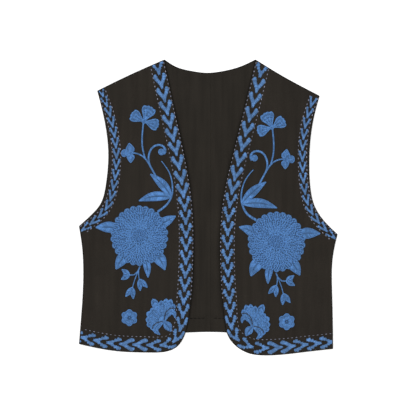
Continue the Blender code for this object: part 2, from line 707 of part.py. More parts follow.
def palmette_shapes():
    shapes = [petal((0.0, 0.0), *row) for row in PALMETTE_PETALS]
    shapes.append((disc((0.0, 0.0), PALMETTE_HEART, 8), [(0.0, 0.0, THREAD_CREST)]))
    shapes += [leaf(*row, 0.006) for row in (*PALMETTE_CURLS, PALMETTE_BULB)]
    return shapes


def rosette_shapes():
    turn = np.linspace(0, 2 * math.pi, ROSETTE_PETALS * 5, endpoint=False)
    radius = ROSETTE_RADIUS + ROSETTE_LOBE * (np.abs(np.cos(turn * ROSETTE_PETALS / 2)) - 0.7)
    rim = np.stack([-np.sin(turn) * radius, np.cos(turn) * radius], axis=1)
    ring = disc((0, 0), ROSETTE_RADIUS * 0.62, ROSETTE_PETALS) @ np.array([(0, 1), (-1, 0)])
    crests = [(x, y, THREAD_CREST) for x, y in ring]
    crests.append((0.0, 0.0, THREAD_VALLEY))
    return [(rim, crests)]


def place_at(side, centres):
    """A function that puts a design made about its own centre on one side."""

    def place(points):
        p = np.array(points, float)
        sign = 1.0 if side == LEFT else -1.0
        x, y, size = centres[side]
        p[:, :2] = p[:, :2] * (sign * size, size) + (x, y)
        return p

    return place


def spaced(places, end):
    """How far along each chevron of a border is, evenly spaced between its placed ones."""
    number, distance = np.array(places).T
    every = np.interp(np.arange(number[-1] + 1), number, distance)
    return every[every < end]


def border_line(side, name, insets, step=0.004):
    """The middle line of a border, along an edge of the front from its upper end."""
    line = edge(side, name, step)
    inward = -normals_of(line) if side == LEFT else normals_of(line)
    if name == "armhole":
        line, inward = line[::-1], inward[::-1]
    share = lengths_along(line) / lengths_along(line)[-1]
    return line + inward * np.interp(share, *np.array(insets).T)[:, None]


def chevron_rings(line, half, half_crests, places):
    """Chevrons in a row along a line, with their crests."""
    along = lengths_along(line)
    normals = normals_of(line)

    def at(u, v):
        u = np.asarray(u)
        beyond = np.minimum(u, 0) + np.maximum(u - along[-1], 0)
        base = np.stack([np.interp(u, along, line[:, k]) for k in (0, 1)], axis=1)
        normal = np.stack([np.interp(u, along, normals[:, k]) for k in (0, 1)], axis=1)
        normal /= np.linalg.norm(normal, axis=1)[:, None]
        forward = np.stack([normal[:, 1], -normal[:, 0]], axis=1)
        return base + forward * beyond[:, None] + normal * np.asarray(v)[:, None]

    outline = np.array([*half, *((u, -v) for u, v in half[:0:-1])])
    high = np.array([*half_crests, *((u, -v) for u, v in half_crests if v)])
    rings, crests = [], []
    for u in spaced(places, along[-1]):
        rings.append(at(outline[:, 0] + u, outline[:, 1]))
        crests += [(x, y, THREAD_CREST) for x, y in at(high[:, 0] + u, high[:, 1])]
    return rings, crests


def add_borders(side):
    """The chevron borders down the opening and along the hem, and round the armhole."""
    clip = inset(front_outline(side), BORDER_MARGIN)
    for node, name, insets, half, half_crests, places in (
        ("border", "opening", OPENING_INSETS, OPENING_CHEVRON, OPENING_CRESTS, OPENING_PLACES),
        ("armhole_border", "armhole", ARMHOLE_INSETS, ARMHOLE_CHEVRON, ARMHOLE_CRESTS, ARMHOLE_PLACES),
    ):
        line = border_line(side, name, insets[side])
        rings, crests = chevron_rings(line, half, half_crests, places[side])
        add_stitched(f"{node}_{side}", side, rings, crests, BORDER_THREAD_COLOUR, [clip])


def main():
    for old in list(bpy.data.objects):
        bpy.data.objects.remove(old)
    for side in SIDES:
        add_back(side)
        add_front(side)
        add_borders(side)
        add_design(f"blossom_{side}", side, blossom_shapes(side))
        add_design(f"sprig_{side}", side, sprig_shapes(side))
        add_design(f"buds_{side}", side, bud_shapes())
        add_design(f"palmette_{side}", side, palmette_shapes(), place_at(side, PALMETTE_AT))
        add_design(f"rosette_{side}", side, rosette_shapes(), place_at(side, ROSETTE_AT))


main()
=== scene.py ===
"""How the embroidered vest looks: fine cloth, embroidery laid thread by thread, and the stage."""

import math

import bpy
import numpy as np
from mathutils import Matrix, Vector
from mathutils.bvhtree import BVHTree
from mathutils.geometry import delaunay_2d_cdt


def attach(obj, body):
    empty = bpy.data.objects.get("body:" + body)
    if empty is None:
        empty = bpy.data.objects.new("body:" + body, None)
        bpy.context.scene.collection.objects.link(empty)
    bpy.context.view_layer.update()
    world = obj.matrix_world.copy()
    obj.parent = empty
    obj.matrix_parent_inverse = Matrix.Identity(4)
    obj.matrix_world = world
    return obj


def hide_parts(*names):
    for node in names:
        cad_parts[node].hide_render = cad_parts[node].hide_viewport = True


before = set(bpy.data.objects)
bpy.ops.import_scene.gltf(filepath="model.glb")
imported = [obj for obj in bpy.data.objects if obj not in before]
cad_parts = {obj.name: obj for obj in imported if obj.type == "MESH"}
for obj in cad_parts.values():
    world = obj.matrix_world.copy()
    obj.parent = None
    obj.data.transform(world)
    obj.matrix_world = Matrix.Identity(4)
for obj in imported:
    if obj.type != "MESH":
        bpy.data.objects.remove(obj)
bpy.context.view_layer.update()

# Cloth and seams
BACK_CLOTH = 0.0012
FRONT_CLOTH = 0.0016
SEAM_GAP = 0.0003
HEM_TURN_WIDTH = 0.0265
HEM_TURN_RISE = 0.0008
HEM_TURN_EDGE = 0.0008
HEM_TURN_RAMP = 0.055
# Rows of points over the turn's edge, as shares of that edge
HEM_TURN_ROWS = (-0.6, 0.0, 0.5, 1.0, 2.0)

# How the fronts lie over the back
LOFT = 0.0014
LOFT_REACH = 0.065
# How far past the back's hem, and what share of the way down to the surface
DROP = ((0.001, 0.0), (0.011, 0.25), (0.021, 0.70), (0.031, 1.0))

# How finely the outlines and the rows along the hem are divided
EDGE_STEPS = {"opening": 0.0035, "side": 0.0045, "armhole": 0.0035, "shoulder": 0.0045}
BACK_EDGE_STEP = 0.005
SEAM_STEP = 0.030
ROW_MARGIN = 0.0025

# Embroidery
THREAD_GAP = 0.0003
# What share of the way to the cloth a stitch's ends go down, and where the rays to it start
THREAD_TUCK = 0.8
RAY_FROM = 0.05
# What the mirrored left design moves by on the right front
RIGHT_SHIFT = (-0.0012, -0.0108)

# Outlines are triangulated in millimetres, at this closeness
MM = 1000.0
CLOSE = 1e-6
LEFT, RIGHT = "left", "right"
SIDES = (LEFT, RIGHT)

FRONT_COLOUR = (0.0225, 0.0190, 0.0154)
BACK_COLOUR = (0.0215, 0.0185, 0.0150)
FLOWER_THREAD_COLOUR = (0.070, 0.187, 0.418)
BORDER_THREAD_COLOUR = (0.088, 0.204, 0.425)
RUNNING_COLOUR = (0.200, 0.205, 0.270)

# Tones of a thread: one that drifts over the work, and those that a stitch is given
TONES = 3
ANY, LIGHT, DEEP, LINE = -1, 2, 3, 4
TONE_MIDDLE, TONE_DRIFT, TONE_SPREAD = 1.0, 0.6, 0.55

# The front's outline on each side: landmark, left x, left y, right x, right y
LANDMARKS = {
    name: {LEFT: (lx, ly), RIGHT: (rx, ry)}
    for name, lx, ly, rx, ry in (
        ("neck point", -0.0771, 0.2607, 0.0831, 0.2607),
        ("opening yoke", -0.0593, 0.1755, 0.0648, 0.1829),
        ("opening chest", -0.0389, 0.0790, 0.0426, 0.0940),
        ("opening bust", -0.0271, -0.0099, 0.0222, -0.0172),
        ("opening waist", -0.0257, -0.0655, 0.0204, -0.0743),
        ("opening low", -0.0275, -0.1250, 0.0229, -0.1447),
        ("corner top", -0.0334, -0.1913, 0.0278, -0.1950),
        ("corner upper", -0.0421, -0.2262, 0.0354, -0.2277),
        ("corner lower", -0.0561, -0.2462, 0.0495, -0.2448),
        ("corner foot", -0.0773, -0.2545, 0.0706, -0.2568),
        ("hem low", -0.1028, -0.2557, 0.0987, -0.2607),
        ("hem outer", -0.1617, -0.2531, 0.1691, -0.2548),
        ("hem side", -0.2277, -0.2404, 0.2198, -0.2490),
        ("side low", -0.2240, -0.1939, 0.2188, -0.1730),
        ("side waist", -0.2202, -0.1095, 0.2177, -0.1306),
        ("side upper", -0.2226, -0.0672, 0.2193, -0.0884),
        ("underarm", -0.2278, -0.0329, 0.2277, -0.0470),
        ("armhole foot", -0.2075, -0.0144, 0.2050, -0.0246),
        ("armhole low", -0.1897, 0.0067, 0.1857, 0.0067),
        ("armhole deep", -0.1806, 0.0384, 0.1808, 0.0278),
        ("armhole chest", -0.1760, 0.0912, 0.1779, 0.0736),
        ("armhole high", -0.1853, 0.1651, 0.1852, 0.1545),
        ("shoulder tip", -0.1957, 0.2056, 0.1961, 0.1968),
        ("shoulder middle", -0.1406, 0.2325, 0.1269, 0.2339),
    )
}

# Each edge of a front, as the landmarks that it runs through
EDGES = {
    "opening": ("neck point", "opening yoke", "opening chest", "opening bust", "opening waist",
                "opening low", "corner top", "corner upper", "corner lower", "corner foot",
                "hem low", "hem outer", "hem side"),
    "side": ("hem side", "side low", "side waist", "side upper", "underarm"),
    "armhole": ("underarm", "armhole foot", "armhole low", "armhole deep", "armhole chest",
                "armhole high", "shoulder tip"),
    "shoulder": ("shoulder tip", "shoulder middle", "neck point"),
}

# The back's own edges, from left to right, between the points that it shares with the fronts
BACK_NECK = ((-0.0561, 0.2478), (-0.0300, 0.2407), (-0.0033, 0.2374), (0.0283, 0.2409),
             (0.0565, 0.2485))
BACK_HEM = ((-0.1150, -0.2262), (-0.0350, -0.2203), (0.0000, -0.2193), (0.0350, -0.2204),
            (0.1150, -0.2300))
CENTRE_BACK = 0.0044

# Soft ridges in the fronts: side, from x, from y, to x, to y, half width, height
RIDGES = (
    (LEFT, -0.036, 0.030, -0.052, 0.150, 0.020, 0.0016),
    (LEFT, -0.034, -0.150, -0.033, -0.040, 0.018, 0.0013),
    (LEFT, -0.196, -0.060, -0.150, -0.020, 0.020, 0.0012),
    (LEFT, -0.176, -0.215, -0.186, -0.100, 0.016, 0.0010),
    (LEFT, -0.150, 0.120, -0.128, 0.190, 0.022, 0.0011),
    (RIGHT, 0.030, 0.010, 0.052, 0.130, 0.020, 0.0014),
    (RIGHT, 0.029, -0.180, 0.027, -0.060, 0.018, 0.0015),
    (RIGHT, 0.194, -0.075, 0.148, -0.030, 0.020, 0.0011),
    (RIGHT, 0.182, -0.200, 0.176, -0.095, 0.016, 0.0011),
    (RIGHT, 0.152, 0.100, 0.126, 0.185, 0.022, 0.0012),
)

# Half of one chevron's outline in each border, as along and across the border: its notch, the
# arm's inner edge up to the tip and its outer edge back, and the stem into the next notch
OPENING_CHEVRON = ((0.0120, 0.0), (0.0070, 0.0032), (-0.0006, 0.0056), (-0.0006, 0.0092),
                   (0.0026, 0.0118), (0.0092, 0.0094), (0.0186, 0.0036), (0.0262, 0.0015),
                   (0.0400, 0.0006))
ARMHOLE_CHEVRON = ((0.0096, 0.0), (0.0052, 0.0021), (-0.0006, 0.0034), (0.0004, 0.0068),
                   (0.0062, 0.0057), (0.0140, 0.0024), (0.0192, 0.0012), (0.0302, 0.0005))
# How far along the border some of its chevrons are: number, distance
OPENING_PLACES = {
    LEFT: ((0, 0.0), (6, 0.1450), (8, 0.1975), (19, 0.4572), (28, 0.6680)),
    RIGHT: ((0, 0.0047), (7, 0.1916), (13, 0.3386), (19, 0.4794), (21, 0.5345), (27, 0.6730)),
}
ARMHOLE_PLACES = {
    LEFT: ((0, -0.0045), (14, 0.2573)),
    RIGHT: ((0, 0.0060), (13, 0.2582)),
}
# The border's distance from the edge: share of the way down, inset
OPENING_INSETS = {
    side: ((0.0, 0.0144), (0.22, 0.0140), (0.35, 0.0134), (0.62, 0.0132), (0.67, 0.0112),
           (0.73, 0.0104), (0.78, 0.0124), (0.84, 0.0138), (1.0, 0.0126))
    for side in SIDES
}
ARMHOLE_INSETS = {
    LEFT: ((0.0, 0.0068), (0.06, 0.0080), (0.14, 0.0108), (0.24, 0.0124), (0.45, 0.0146),
           (0.6, 0.0146), (0.85, 0.0125), (1.0, 0.0092)),
    RIGHT: ((0.0, 0.0085), (0.2, 0.0122), (0.35, 0.0130), (0.5, 0.0118), (0.7, 0.0102), (1.0, 0.0085)),
}
BORDER_MARGIN = 0.0016

# The big blossom on the left front. Its leaves are as those further down, from its centre, and
# the one towards the opening is drawn for each side.
BLOSSOM_CENTRE = (-0.1213, -0.0496)
BLOSSOM_RADII = (0.050, 0.0525)
BLOSSOM_LEAVES = (
    (0.0098, ((-0.0340, 0.0130), (-0.0550, 0.0152), (-0.0770, 0.0145))),
    (0.0100, ((-0.0200, -0.0280), (-0.0325, -0.0440), (-0.0412, -0.0590))),
    (0.0066, ((0.0090, -0.0360), (0.0138, -0.0550), (0.0152, -0.0738))),
    (0.0108, ((0.0215, -0.0270), (0.0375, -0.0435), (0.0450, -0.0605))),
)
BLOSSOM_INNER_LEAF = {
    LEFT: (0.0088, ((0.0310, 0.0150), (0.0490, 0.0265), (0.0640, 0.0345))),
    RIGHT: (0.0088, ((0.0310, 0.0070), (0.0500, 0.0215), (0.0660, 0.0260))),
}

# Stems as they are on the left front: half width at the root, half width at the tip, route. The
# main one and its leaves are drawn for each side.
MAIN_STEM = {
    LEFT: (0.0021, 0.0007, ((-0.0887, -0.0073), (-0.0785, 0.0000), (-0.0712, 0.0074),
                            (-0.0645, 0.0200), (-0.0630, 0.0370), (-0.0680, 0.0600), (-0.0825, 0.0818))),
    RIGHT: (0.0023, 0.0007, ((-0.0849, -0.0110), (-0.0711, -0.0020), (-0.0627, 0.0110),
                             (-0.0592, 0.0275), (-0.0612, 0.0450), (-0.0676, 0.0610), (-0.0806, 0.0775))),
}
STEMS = (
    (0.0017, 0.0012, ((-0.0900, 0.0500), (-0.0954, 0.0605), (-0.1038, 0.0757), (-0.1123, 0.0875),
                      (-0.1257, 0.0950), (-0.1375, 0.0960))),
    (0.0014, 0.0014, ((-0.1110, 0.0860), (-0.1156, 0.1042), (-0.1163, 0.1262), (-0.1135, 0.1540))),
    (0.0016, 0.0018, ((-0.1020, 0.0720), (-0.1052, 0.0850), (-0.1035, 0.0965), (-0.0980, 0.1058),
                      (-0.0885, 0.1102), (-0.0790, 0.1075), (-0.0758, 0.1000))),
)
CURL_KNOB = (-0.0826, 0.0978, 0.0056)
KNOB_SHARE = 0.98

# Leaves of the main stem: half width, route from root to tip
LEAVES = {
    LEFT: (
        (0.0080, ((-0.0650, 0.0190), (-0.0800, 0.0400), (-0.1020, 0.0590))),
        (0.0086, ((-0.0655, 0.0178), (-0.0945, 0.0196), (-0.1222, 0.0115))),
    ),
    RIGHT: (
        (0.0080, ((-0.0605, 0.0185), (-0.0815, 0.0400), (-0.1028, 0.0557))),
        (0.0084, ((-0.0612, 0.0165), (-0.0910, 0.0186), (-0.1221, 0.0099))),
    ),
}

# Three-petalled flowers on the left front: centre, then angle, length, half width and end of
# each petal
TREFOILS = (
    (-0.1132, 0.1515, ((67.0, 0.0292, 0.0122, "scalloped"), (149.0, 0.0266, 0.0108, "scalloped"),
                       (344.0, 0.0274, 0.0102, "scalloped"))),
    (-0.1366, 0.0950, ((98.0, 0.0190, 0.0077, "pointed"), (177.0, 0.0168, 0.0066, "round"),
                       (270.0, 0.0170, 0.0068, "pointed"))),
)
TREFOIL_HEART = 0.00375
TREFOIL_KNOTS = 0.0016
# Half of a petal's outline from its root to its tip, as shares of its length and half width, by
# the kind of its end
PETAL_ENDS = {
    "round": ((0.0, 0.10), (0.40, 0.60), (0.74, 1.0), (0.93, 0.70), (1.0, 0.0)),
    "pointed": ((0.0, 0.30), (0.20, 0.86), (0.44, 1.0), (0.74, 0.55), (1.0, 0.0)),
    "scalloped": ((0.0, 0.10), (0.40, 0.52), (0.76, 1.0), (0.92, 0.86), (0.93, 0.46), (1.0, 0.26),
                  (0.97, 0.0)),
}

# The spray of buds below the blossom: stems as above, then each bud's place, angle, length and
# spread, and how long its middle petal is beside the other two
BUD_STEMS = (
    (0.0013, 0.0011, ((-0.1205, -0.1049), (-0.1250, -0.1140), (-0.1318, -0.1188), (-0.1390, -0.1187))),
    (0.0009, 0.0009, ((-0.1230, -0.1120), (-0.1290, -0.1260), (-0.1335, -0.1420))),
    (0.0009, 0.0009, ((-0.1225, -0.1110), (-0.1222, -0.1230), (-0.1205, -0.1290))),
)
BUDS = (
    (-0.1382, -0.1187, 176.0, 0.0172, 31.0),
    (-0.1335, -0.1405, 254.0, 0.0205, 20.0),
    (-0.1212, -0.1262, 294.0, 0.0205, 20.0),
)
BUD_HALF_WIDTH = 0.0045
BUD_MIDDLE = 0.68
# The dark slit between a bud's petals starts this far along it, and its stem's stitches are slimmer
BUD_SLIT_START = 0.30
BUD_STEM_SLIM = 0.8

# The palmette near the front corner: place and size on each side, and petals as angle, length,
# half width
PALMETTE_AT = {LEFT: (-0.0782, -0.2013, 1.0), RIGHT: (0.0782, -0.2097, 0.96)}
PALMETTE_PETALS = (
    (59.0, 0.0368, 0.0054), (72.0, 0.0424, 0.0056), (84.0, 0.0418, 0.0054), (97.0, 0.0384, 0.0058),
    (116.0, 0.0456, 0.0062), (134.0, 0.0335, 0.0062), (152.0, 0.0350, 0.0062),
    (172.0, 0.0328, 0.0064), (190.0, 0.0312, 0.0060), (208.0, 0.0270, 0.0058),
)
# Its two curled petals, as half width and route, and its bulb
PALMETTE_CURLS = (
    (0.0056, ((0.0008, 0.0020), (0.0050, 0.0120), (0.0120, 0.0178), (0.0182, 0.0150), (0.0195, 0.0065))),
    (0.0056, ((-0.0015, -0.0015), (-0.0100, -0.0060), (-0.0150, -0.0120), (-0.0120, -0.0185),
              (-0.0065, -0.0225))),
)
PALMETTE_BULB = (0.0074, ((0.0004, -0.0004), (0.0070, -0.0075), (0.0128, -0.0168)))

ROSETTE_AT = {LEFT: (-0.1389, -0.1939, 1.0), RIGHT: (0.1380, -0.2010, 1.0)}
ROSETTE_PETALS = 6
ROSETTE_RADIUS = 0.0139
# How much its radius changes over a petal, and where on that curve the radius is the one above
ROSETTE_LOBE = 0.0036
ROSETTE_DEEP = 0.7

# How far the rows of running stitches are from the border's middle: share of the way down, distance
RUNNING_ROWS = {
    "opening": ((0.0, 0.0119), (0.70, 0.0119), (0.76, 0.0145), (1.0, 0.0145)),
    "armhole": ((0.0, 0.0073), (1.0, 0.0073)),
}
# The rows change past the corner: no outer one, and the inner one's stitches are slimmer
RUNNING_CORNER = 0.70
RUNNING_HEM = 0.72
RUNNING_MARGIN = 0.001

# The stitches of the chevrons: pitch and slant, how many make a clump and how uneven its ends are,
# outside and inside, how much slimmer the arms are, the width below which they are more even, how
# far the notch and the tip move in, where the stem starts and how far its stitches cross its middle
CHEVRON_PITCH = 0.00074
CHEVRON_SLANT = 0.0036
CHEVRON_STEP = 0.0006
CHEVRON_CLUMP = 8.0
CHEVRON_UNEVEN = 0.0025
CHEVRON_INNER = 0.4
CHEVRON_SHAKE = 0.00022
CHEVRON_SLIM = 0.92
CHEVRON_WIDE = 0.004
CHEVRON_NOTCH = 0.0020
CHEVRON_PEAK = 0.0010
CHEVRON_ROOT = 0.0004
CHEVRON_OVER = 0.15

# Rings of petals in the blossom, from the outside: tip and root as shares of the radius, petals
BLOSSOM_LAYERS = ((1.0, 0.74, 26), (0.87, 0.58, 25), (0.73, 0.45, 22), (0.58, 0.32, 18), (0.43, 0.22, 14))
BLOSSOM_HEART = 0.27
# The knots in the blossom's middle: size, tone, lift and number
BLOSSOM_KNOTS = ((0.00125, LIGHT, 0.0014, 100), (0.00095, DEEP, 0.0017, 50))
# A petal's rows of stitches: pitch and stitch length, and the half width of a stitch beside the pitch
PETAL_ROW = 0.00096
PETAL_STITCH = 0.0036
PETAL_FILL = 0.53
# A petal's shape: how wide it is beside its share of the ring, how wide its root is beside that,
# how long its straight part is at least, how its rows close up at the tip, and its crown
PETAL_WIDE = 1.04
PETAL_WAIST = 0.62
PETAL_STRAIGHT = 0.25
PETAL_CLOSING = 0.9
PETAL_CROWN = 0.00034
PETAL_BEND = 7
# How uneven the inner petals are: turn, reach, and narrower and wider
PETAL_TURN = 0.30
PETAL_REACH = 0.06
PETAL_WIDTHS = (-0.10, 0.22)
# The lift of the petals: the outer ones', what each layer adds, and how uneven it is
PETAL_LIFTS = (0.0003, 0.00016, 0.00012)
KNOT_SHIFT = 0.0003
# Single dark and light stitches on the blossom, in rings: how far each one turns, how uneven their
# places and starts are, how long they are beside the ring, where they end at the latest, where the
# last ring starts at the latest, and their looks
STROKE_RING = 0.072
STROKE_PITCH = 0.0040
STROKE_CURL = 0.03
STROKE_TURN = 0.32
STROKE_START = 0.02
STROKE_LENGTHS = (0.55, 1.15)
STROKE_END = 0.965
STROKE_LAST = 0.98
STROKES = ((0.0006, 0.0013, DEEP), (0.00087, 0.00135, LIGHT))
# How far a stem's stitches go on under the petals, how many of them each one slants over, and
# their pitch beside the usual one
STEM_TUCK = 0.0016
STEM_SLANT = 3
STEM_PITCH = 1.25
# The turn of the curled stem round its knob, as the stems
CURL_TURN = (0.0017, 0.0024, ((-0.0800, 0.1080), (-0.0760, 0.1035), (-0.0757, 0.0985), (-0.0785, 0.0942)))
# The tones of a petal's rows, from its outline to its middle
PETAL_TONES = ((2, 1, 0, 2), (1, 0, 2, 1), (2, 0, 2, 1), (1, 2, 0, 2), (2, 1, 2, 1))

# The dark lines between the palmette's fan and its curled petals
PALMETTE_LINES = (
    ((0.0004, 0.0032), (0.0018, 0.0115), (0.0066, 0.0205), (0.0130, 0.0243), (0.0200, 0.0236)),
    ((-0.0022, 0.0008), (-0.0098, -0.0006), (-0.0180, -0.0062), (-0.0206, -0.0125)),
)
# How far its two rows are to each side of a line, their stitches, and how finely it is followed
PALMETTE_LINE_SHIFT = 0.00035
PALMETTE_LINE_STITCH = 0.0024
PALMETTE_LINE_STEP = 0.0010

# The rosette's dark ring, the end of each dark stitch that goes out from it and the share of the
# way there at which it starts, the ring's stitches, and the knot in its middle
ROSETTE_RING = 0.0024
ROSETTE_DARK = (0.0044, 0.0)
ROSETTE_DARK_START = 0.45
ROSETTE_STITCH = 0.0016
ROSETTE_KNOT = 0.0010

# Camera and light
CAMERA_HEIGHT = 3.0
CAMERA_OVER = (-0.0005, -0.0009)
PHOTO_PIXELS = 416
METRES_A_PIXEL = 0.00176
LIGHTS = (
    ("key", (-1.3, 1.2, 2.2), 1.6, 26.0),
    ("fill", (1.5, -0.6, 2.2), 2.2, 12.0),
)
WORLD_STRENGTH = 0.80
FLOOR_GLOW = 0.35


def spline(points, step):
    """Points about step apart on the natural cubic curve through the given points."""
    p = np.asarray(points, float)
    chord = np.linalg.norm(np.diff(p, axis=0), axis=1)
    along = np.concatenate([[0.0], np.cumsum(chord)])
    matrix, slopes = np.eye(len(p)), np.zeros_like(p)
    for i in range(1, len(p) - 1):
        matrix[i, i - 1 : i + 2] = chord[i - 1], 2 * (chord[i - 1] + chord[i]), chord[i]
        slopes[i] = 6 * ((p[i + 1] - p[i]) / chord[i] - (p[i] - p[i - 1]) / chord[i - 1])
    bend = np.linalg.solve(matrix, slopes)
    at = np.linspace(0.0, along[-1], max(2, round(along[-1] / step)) + 1)
    k = np.clip(np.searchsorted(along, at, side="right") - 1, 0, len(p) - 2)
    h = chord[k][:, None]
    u = (at - along[k])[:, None]
    v = h - u
    return (
        (bend[k] * v**3 + bend[k + 1] * u**3) / (6 * h)
        + (p[k] / h - bend[k] * h / 6) * v
        + (p[k + 1] / h - bend[k + 1] * h / 6) * u
    )


def lengths_along(line):
    return np.concatenate([[0.0], np.cumsum(np.linalg.norm(np.diff(line, axis=0), axis=1))])


def shares_along(line):
    return lengths_along(line) / lengths_along(line)[-1]


def from_table(at, rows):
    """Values read between the rows of a table."""
    return np.interp(at, *np.array(rows).T)


def unit(vectors):
    return vectors / np.linalg.norm(vectors, axis=1)[:, None]


def left_of(vectors):
    """Vectors turned a quarter turn to the left."""
    return np.stack([-vectors[:, 1], vectors[:, 0]], axis=1)


def rays(turn):
    """Unit vectors at some angles in radians."""
    return np.stack([np.cos(turn), np.sin(turn)], axis=1)


def normals_of(line):
    """The unit normal to the left of a line at each of its points."""
    return left_of(unit(np.gradient(line, axis=0)))


def edge(side, name, step=None):
    return spline([LANDMARKS[landmark][side] for landmark in EDGES[name]], step or EDGE_STEPS[name])


def back_edge(name, step=BACK_EDGE_STEP):
    """The back's neck or hem, from left to right."""
    shared, own = ("neck point", BACK_NECK) if name == "neck" else ("hem side", BACK_HEM)
    return spline([LANDMARKS[shared][LEFT], *own, LANDMARKS[shared][RIGHT]], step)


def area(ring):
    """The area inside a closed outline, negative where it runs clockwise."""
    x, y = np.asarray(ring).T
    return (x * np.roll(y, -1) - y * np.roll(x, -1)).sum() / 2


def anticlockwise(ring):
    return ring if area(ring) > 0 else ring[::-1]


def joined(lines):
    """One closed outline from edges that meet end to end, anticlockwise."""
    return anticlockwise(np.concatenate([line[:-1] for line in lines]))


def front_outline(side):
    return joined([edge(side, name) for name in ("opening", "side", "armhole", "shoulder")])


def back_outline(side):
    """Half of the back, as far as its centre seam."""
    neck, hem = back_edge("neck"), back_edge("hem")
    if side == RIGHT:
        neck, hem = neck[::-1], hem[::-1]
    sign = -1.0 if side == LEFT else 1.0
    seam_x = CENTRE_BACK
    neck = neck[sign * (neck[:, 0] - seam_x) > BACK_EDGE_STEP / 4]
    hem = hem[sign * (hem[:, 0] - seam_x) > BACK_EDGE_STEP / 4]
    top = (seam_x, np.interp(seam_x, *back_edge("neck").T))
    foot = (seam_x, np.interp(seam_x, *back_edge("hem").T))
    seam = spline([top, foot], SEAM_STEP)
    return joined(
        [
            np.vstack([neck, [top]]),
            seam,
            np.vstack([[foot], hem[::-1]]),
            edge(side, "side"),
            edge(side, "armhole", BACK_EDGE_STEP),
            edge(side, "shoulder"),
        ]
    )


def inset(ring, by):
    """A closed outline moved inwards, with mitred corners."""
    ahead = unit(np.roll(ring, -1, axis=0) - ring)
    inward = unit(left_of(ahead + np.roll(ahead, 1, axis=0)))
    facing = (inward * left_of(ahead)).sum(axis=1)
    return ring + inward * (by / np.maximum(facing, 0.5))[:, None]


def distance_to(line, x, y):
    """How far each point is from a line."""
    p = np.stack([np.ravel(x), np.ravel(y)], axis=1)[:, None]
    start, run = line[None, :-1], np.diff(line, axis=0)[None]
    share = np.clip(((p - start) * run).sum(axis=2) / (run**2).sum(axis=2), 0, 1)
    return np.linalg.norm(p - start - share[..., None] * run, axis=2).min(axis=1)


def ease(t):
    """0 below 0 and 1 above 1, with a smooth rise between them."""
    t = np.clip(t, 0.0, 1.0)
    return t * t * (3 - 2 * t)


def back_clearance(x, y):
    """A smooth height that is nowhere below the back's upper face."""
    away = distance_to(back_edge("hem"), x, y) - HEM_TURN_WIDTH - HEM_TURN_EDGE
    return BACK_CLOTH + HEM_TURN_RISE * (1 - ease(away / HEM_TURN_RAMP))


def ridges(side, x, y):
    """The soft ridges of one front, as a height."""
    height = np.zeros(np.size(x))
    for where, x0, y0, x1, y1, half_width, top in RIDGES:
        if where == side:
            away = distance_to(np.array([(x0, y0), (x1, y1)]), x, y)
            height += top * np.exp(-((away / half_width) ** 2))
    return height


def front_under(side, x, y):
    """The height of a front's underside, on the back and then down to the surface past it."""
    held = [edge(side, "side"), edge(side, "shoulder"), back_edge("hem")]
    rise = ease(np.min([distance_to(line, x, y) for line in held], axis=0) / LOFT_REACH)
    resting = back_clearance(x, y) + SEAM_GAP + rise * (LOFT + ridges(side, x, y))
    hem = back_edge("hem")
    past = np.interp(x, hem[:, 0], hem[:, 1]) - y
    return resting * (1 - from_table(past, DROP))


def front_top(side, x, y):
    return front_under(side, x, y) + FRONT_CLOTH


def inside(ring, points):
    """Which points are inside a closed outline."""
    ends = np.roll(ring, -1, axis=0)
    crosses = (ring[None, :, 1] > points[:, None, 1]) != (ends[None, :, 1] > points[:, None, 1])
    run = ends - ring
    with np.errstate(divide="ignore", invalid="ignore"):
        at = ring[:, 0] + (points[:, None, 1] - ring[:, 1]) / run[:, 1] * run[:, 0]
    return (crosses & (points[:, None, 0] < at)).sum(axis=1) % 2 == 1


def inside_points(ring, spacing, margin):
    """A staggered grid of points inside a closed outline, clear of it."""
    low, high = ring.min(axis=0), ring.max(axis=0)
    grid = np.array(
        [
            (x, y)
            for row, y in enumerate(np.arange(low[1], high[1], spacing * math.sqrt(3) / 2))
            for x in np.arange(low[0] + spacing / 2 * (row % 2), high[0], spacing)
        ]
    )
    clear = distance_to(np.vstack([ring, ring[:1]]), *grid.T) > margin
    return grid[inside(ring, grid) & clear]


def triangulate(ring, loose):
    """The points and triangles that fill a closed outline, through the loose points too."""
    corners = [tuple(p * MM) for p in np.vstack([anticlockwise(ring), loose])]
    made = delaunay_2d_cdt(corners, [], [list(range(len(ring)))], 1, CLOSE)
    points = np.array([p[:] for p in made[0]]) / MM
    return points, [list(t) for t, covers in zip(made[2], made[5]) if set(covers) == {0}]


def hem_rows(ring, offsets, step):
    """Rows of points along the back's hem at some distances above it, kept inside an outline."""
    hem = back_edge("hem", step)
    rows = np.vstack([hem + normals_of(hem) * offset for offset in offsets])
    return rows[inside(ring, rows) & (distance_to(np.vstack([ring, ring[:1]]), *rows.T) > ROW_MARGIN)]


def turned(points, angle):
    c, s = math.cos(math.radians(angle)), math.sin(math.radians(angle))
    return np.asarray(points) @ np.array([(c, s), (-s, c)])


def petal(centre, angle, length, half_width, end="round"):
    """A petal that widens from its root and has a round, pointed or scalloped end."""
    half = PETAL_ENDS[end]
    outline = np.array([*((x, -y) for x, y in half), *half[-2::-1]]) * (length, half_width)
    return turned(outline, angle) + centre


def disc(centre, radius, count):
    return rays(np.linspace(0, 2 * math.pi, count, endpoint=False)) * radius + centre


def from_centre(turn):
    """Points of the ellipse of the blossom's outline, from its centre."""
    return rays(turn) * BLOSSOM_RADII


def placed(side, rows, centres):
    """A design's stitches on one side: about its own centre, or else mirrored and shifted."""
    flip = 1.0 if side == LEFT else -1.0
    if centres:
        x, y, size = centres[side]
    else:
        x, y, size = (0.0, 0.0, 1.0) if side == LEFT else (*RIGHT_SHIFT, 1.0)
    rows = rows.copy()
    for k in (0, 2):
        rows[:, k : k + 2] = rows[:, k : k + 2] * (flip * size, size) + (x, y)
    return rows


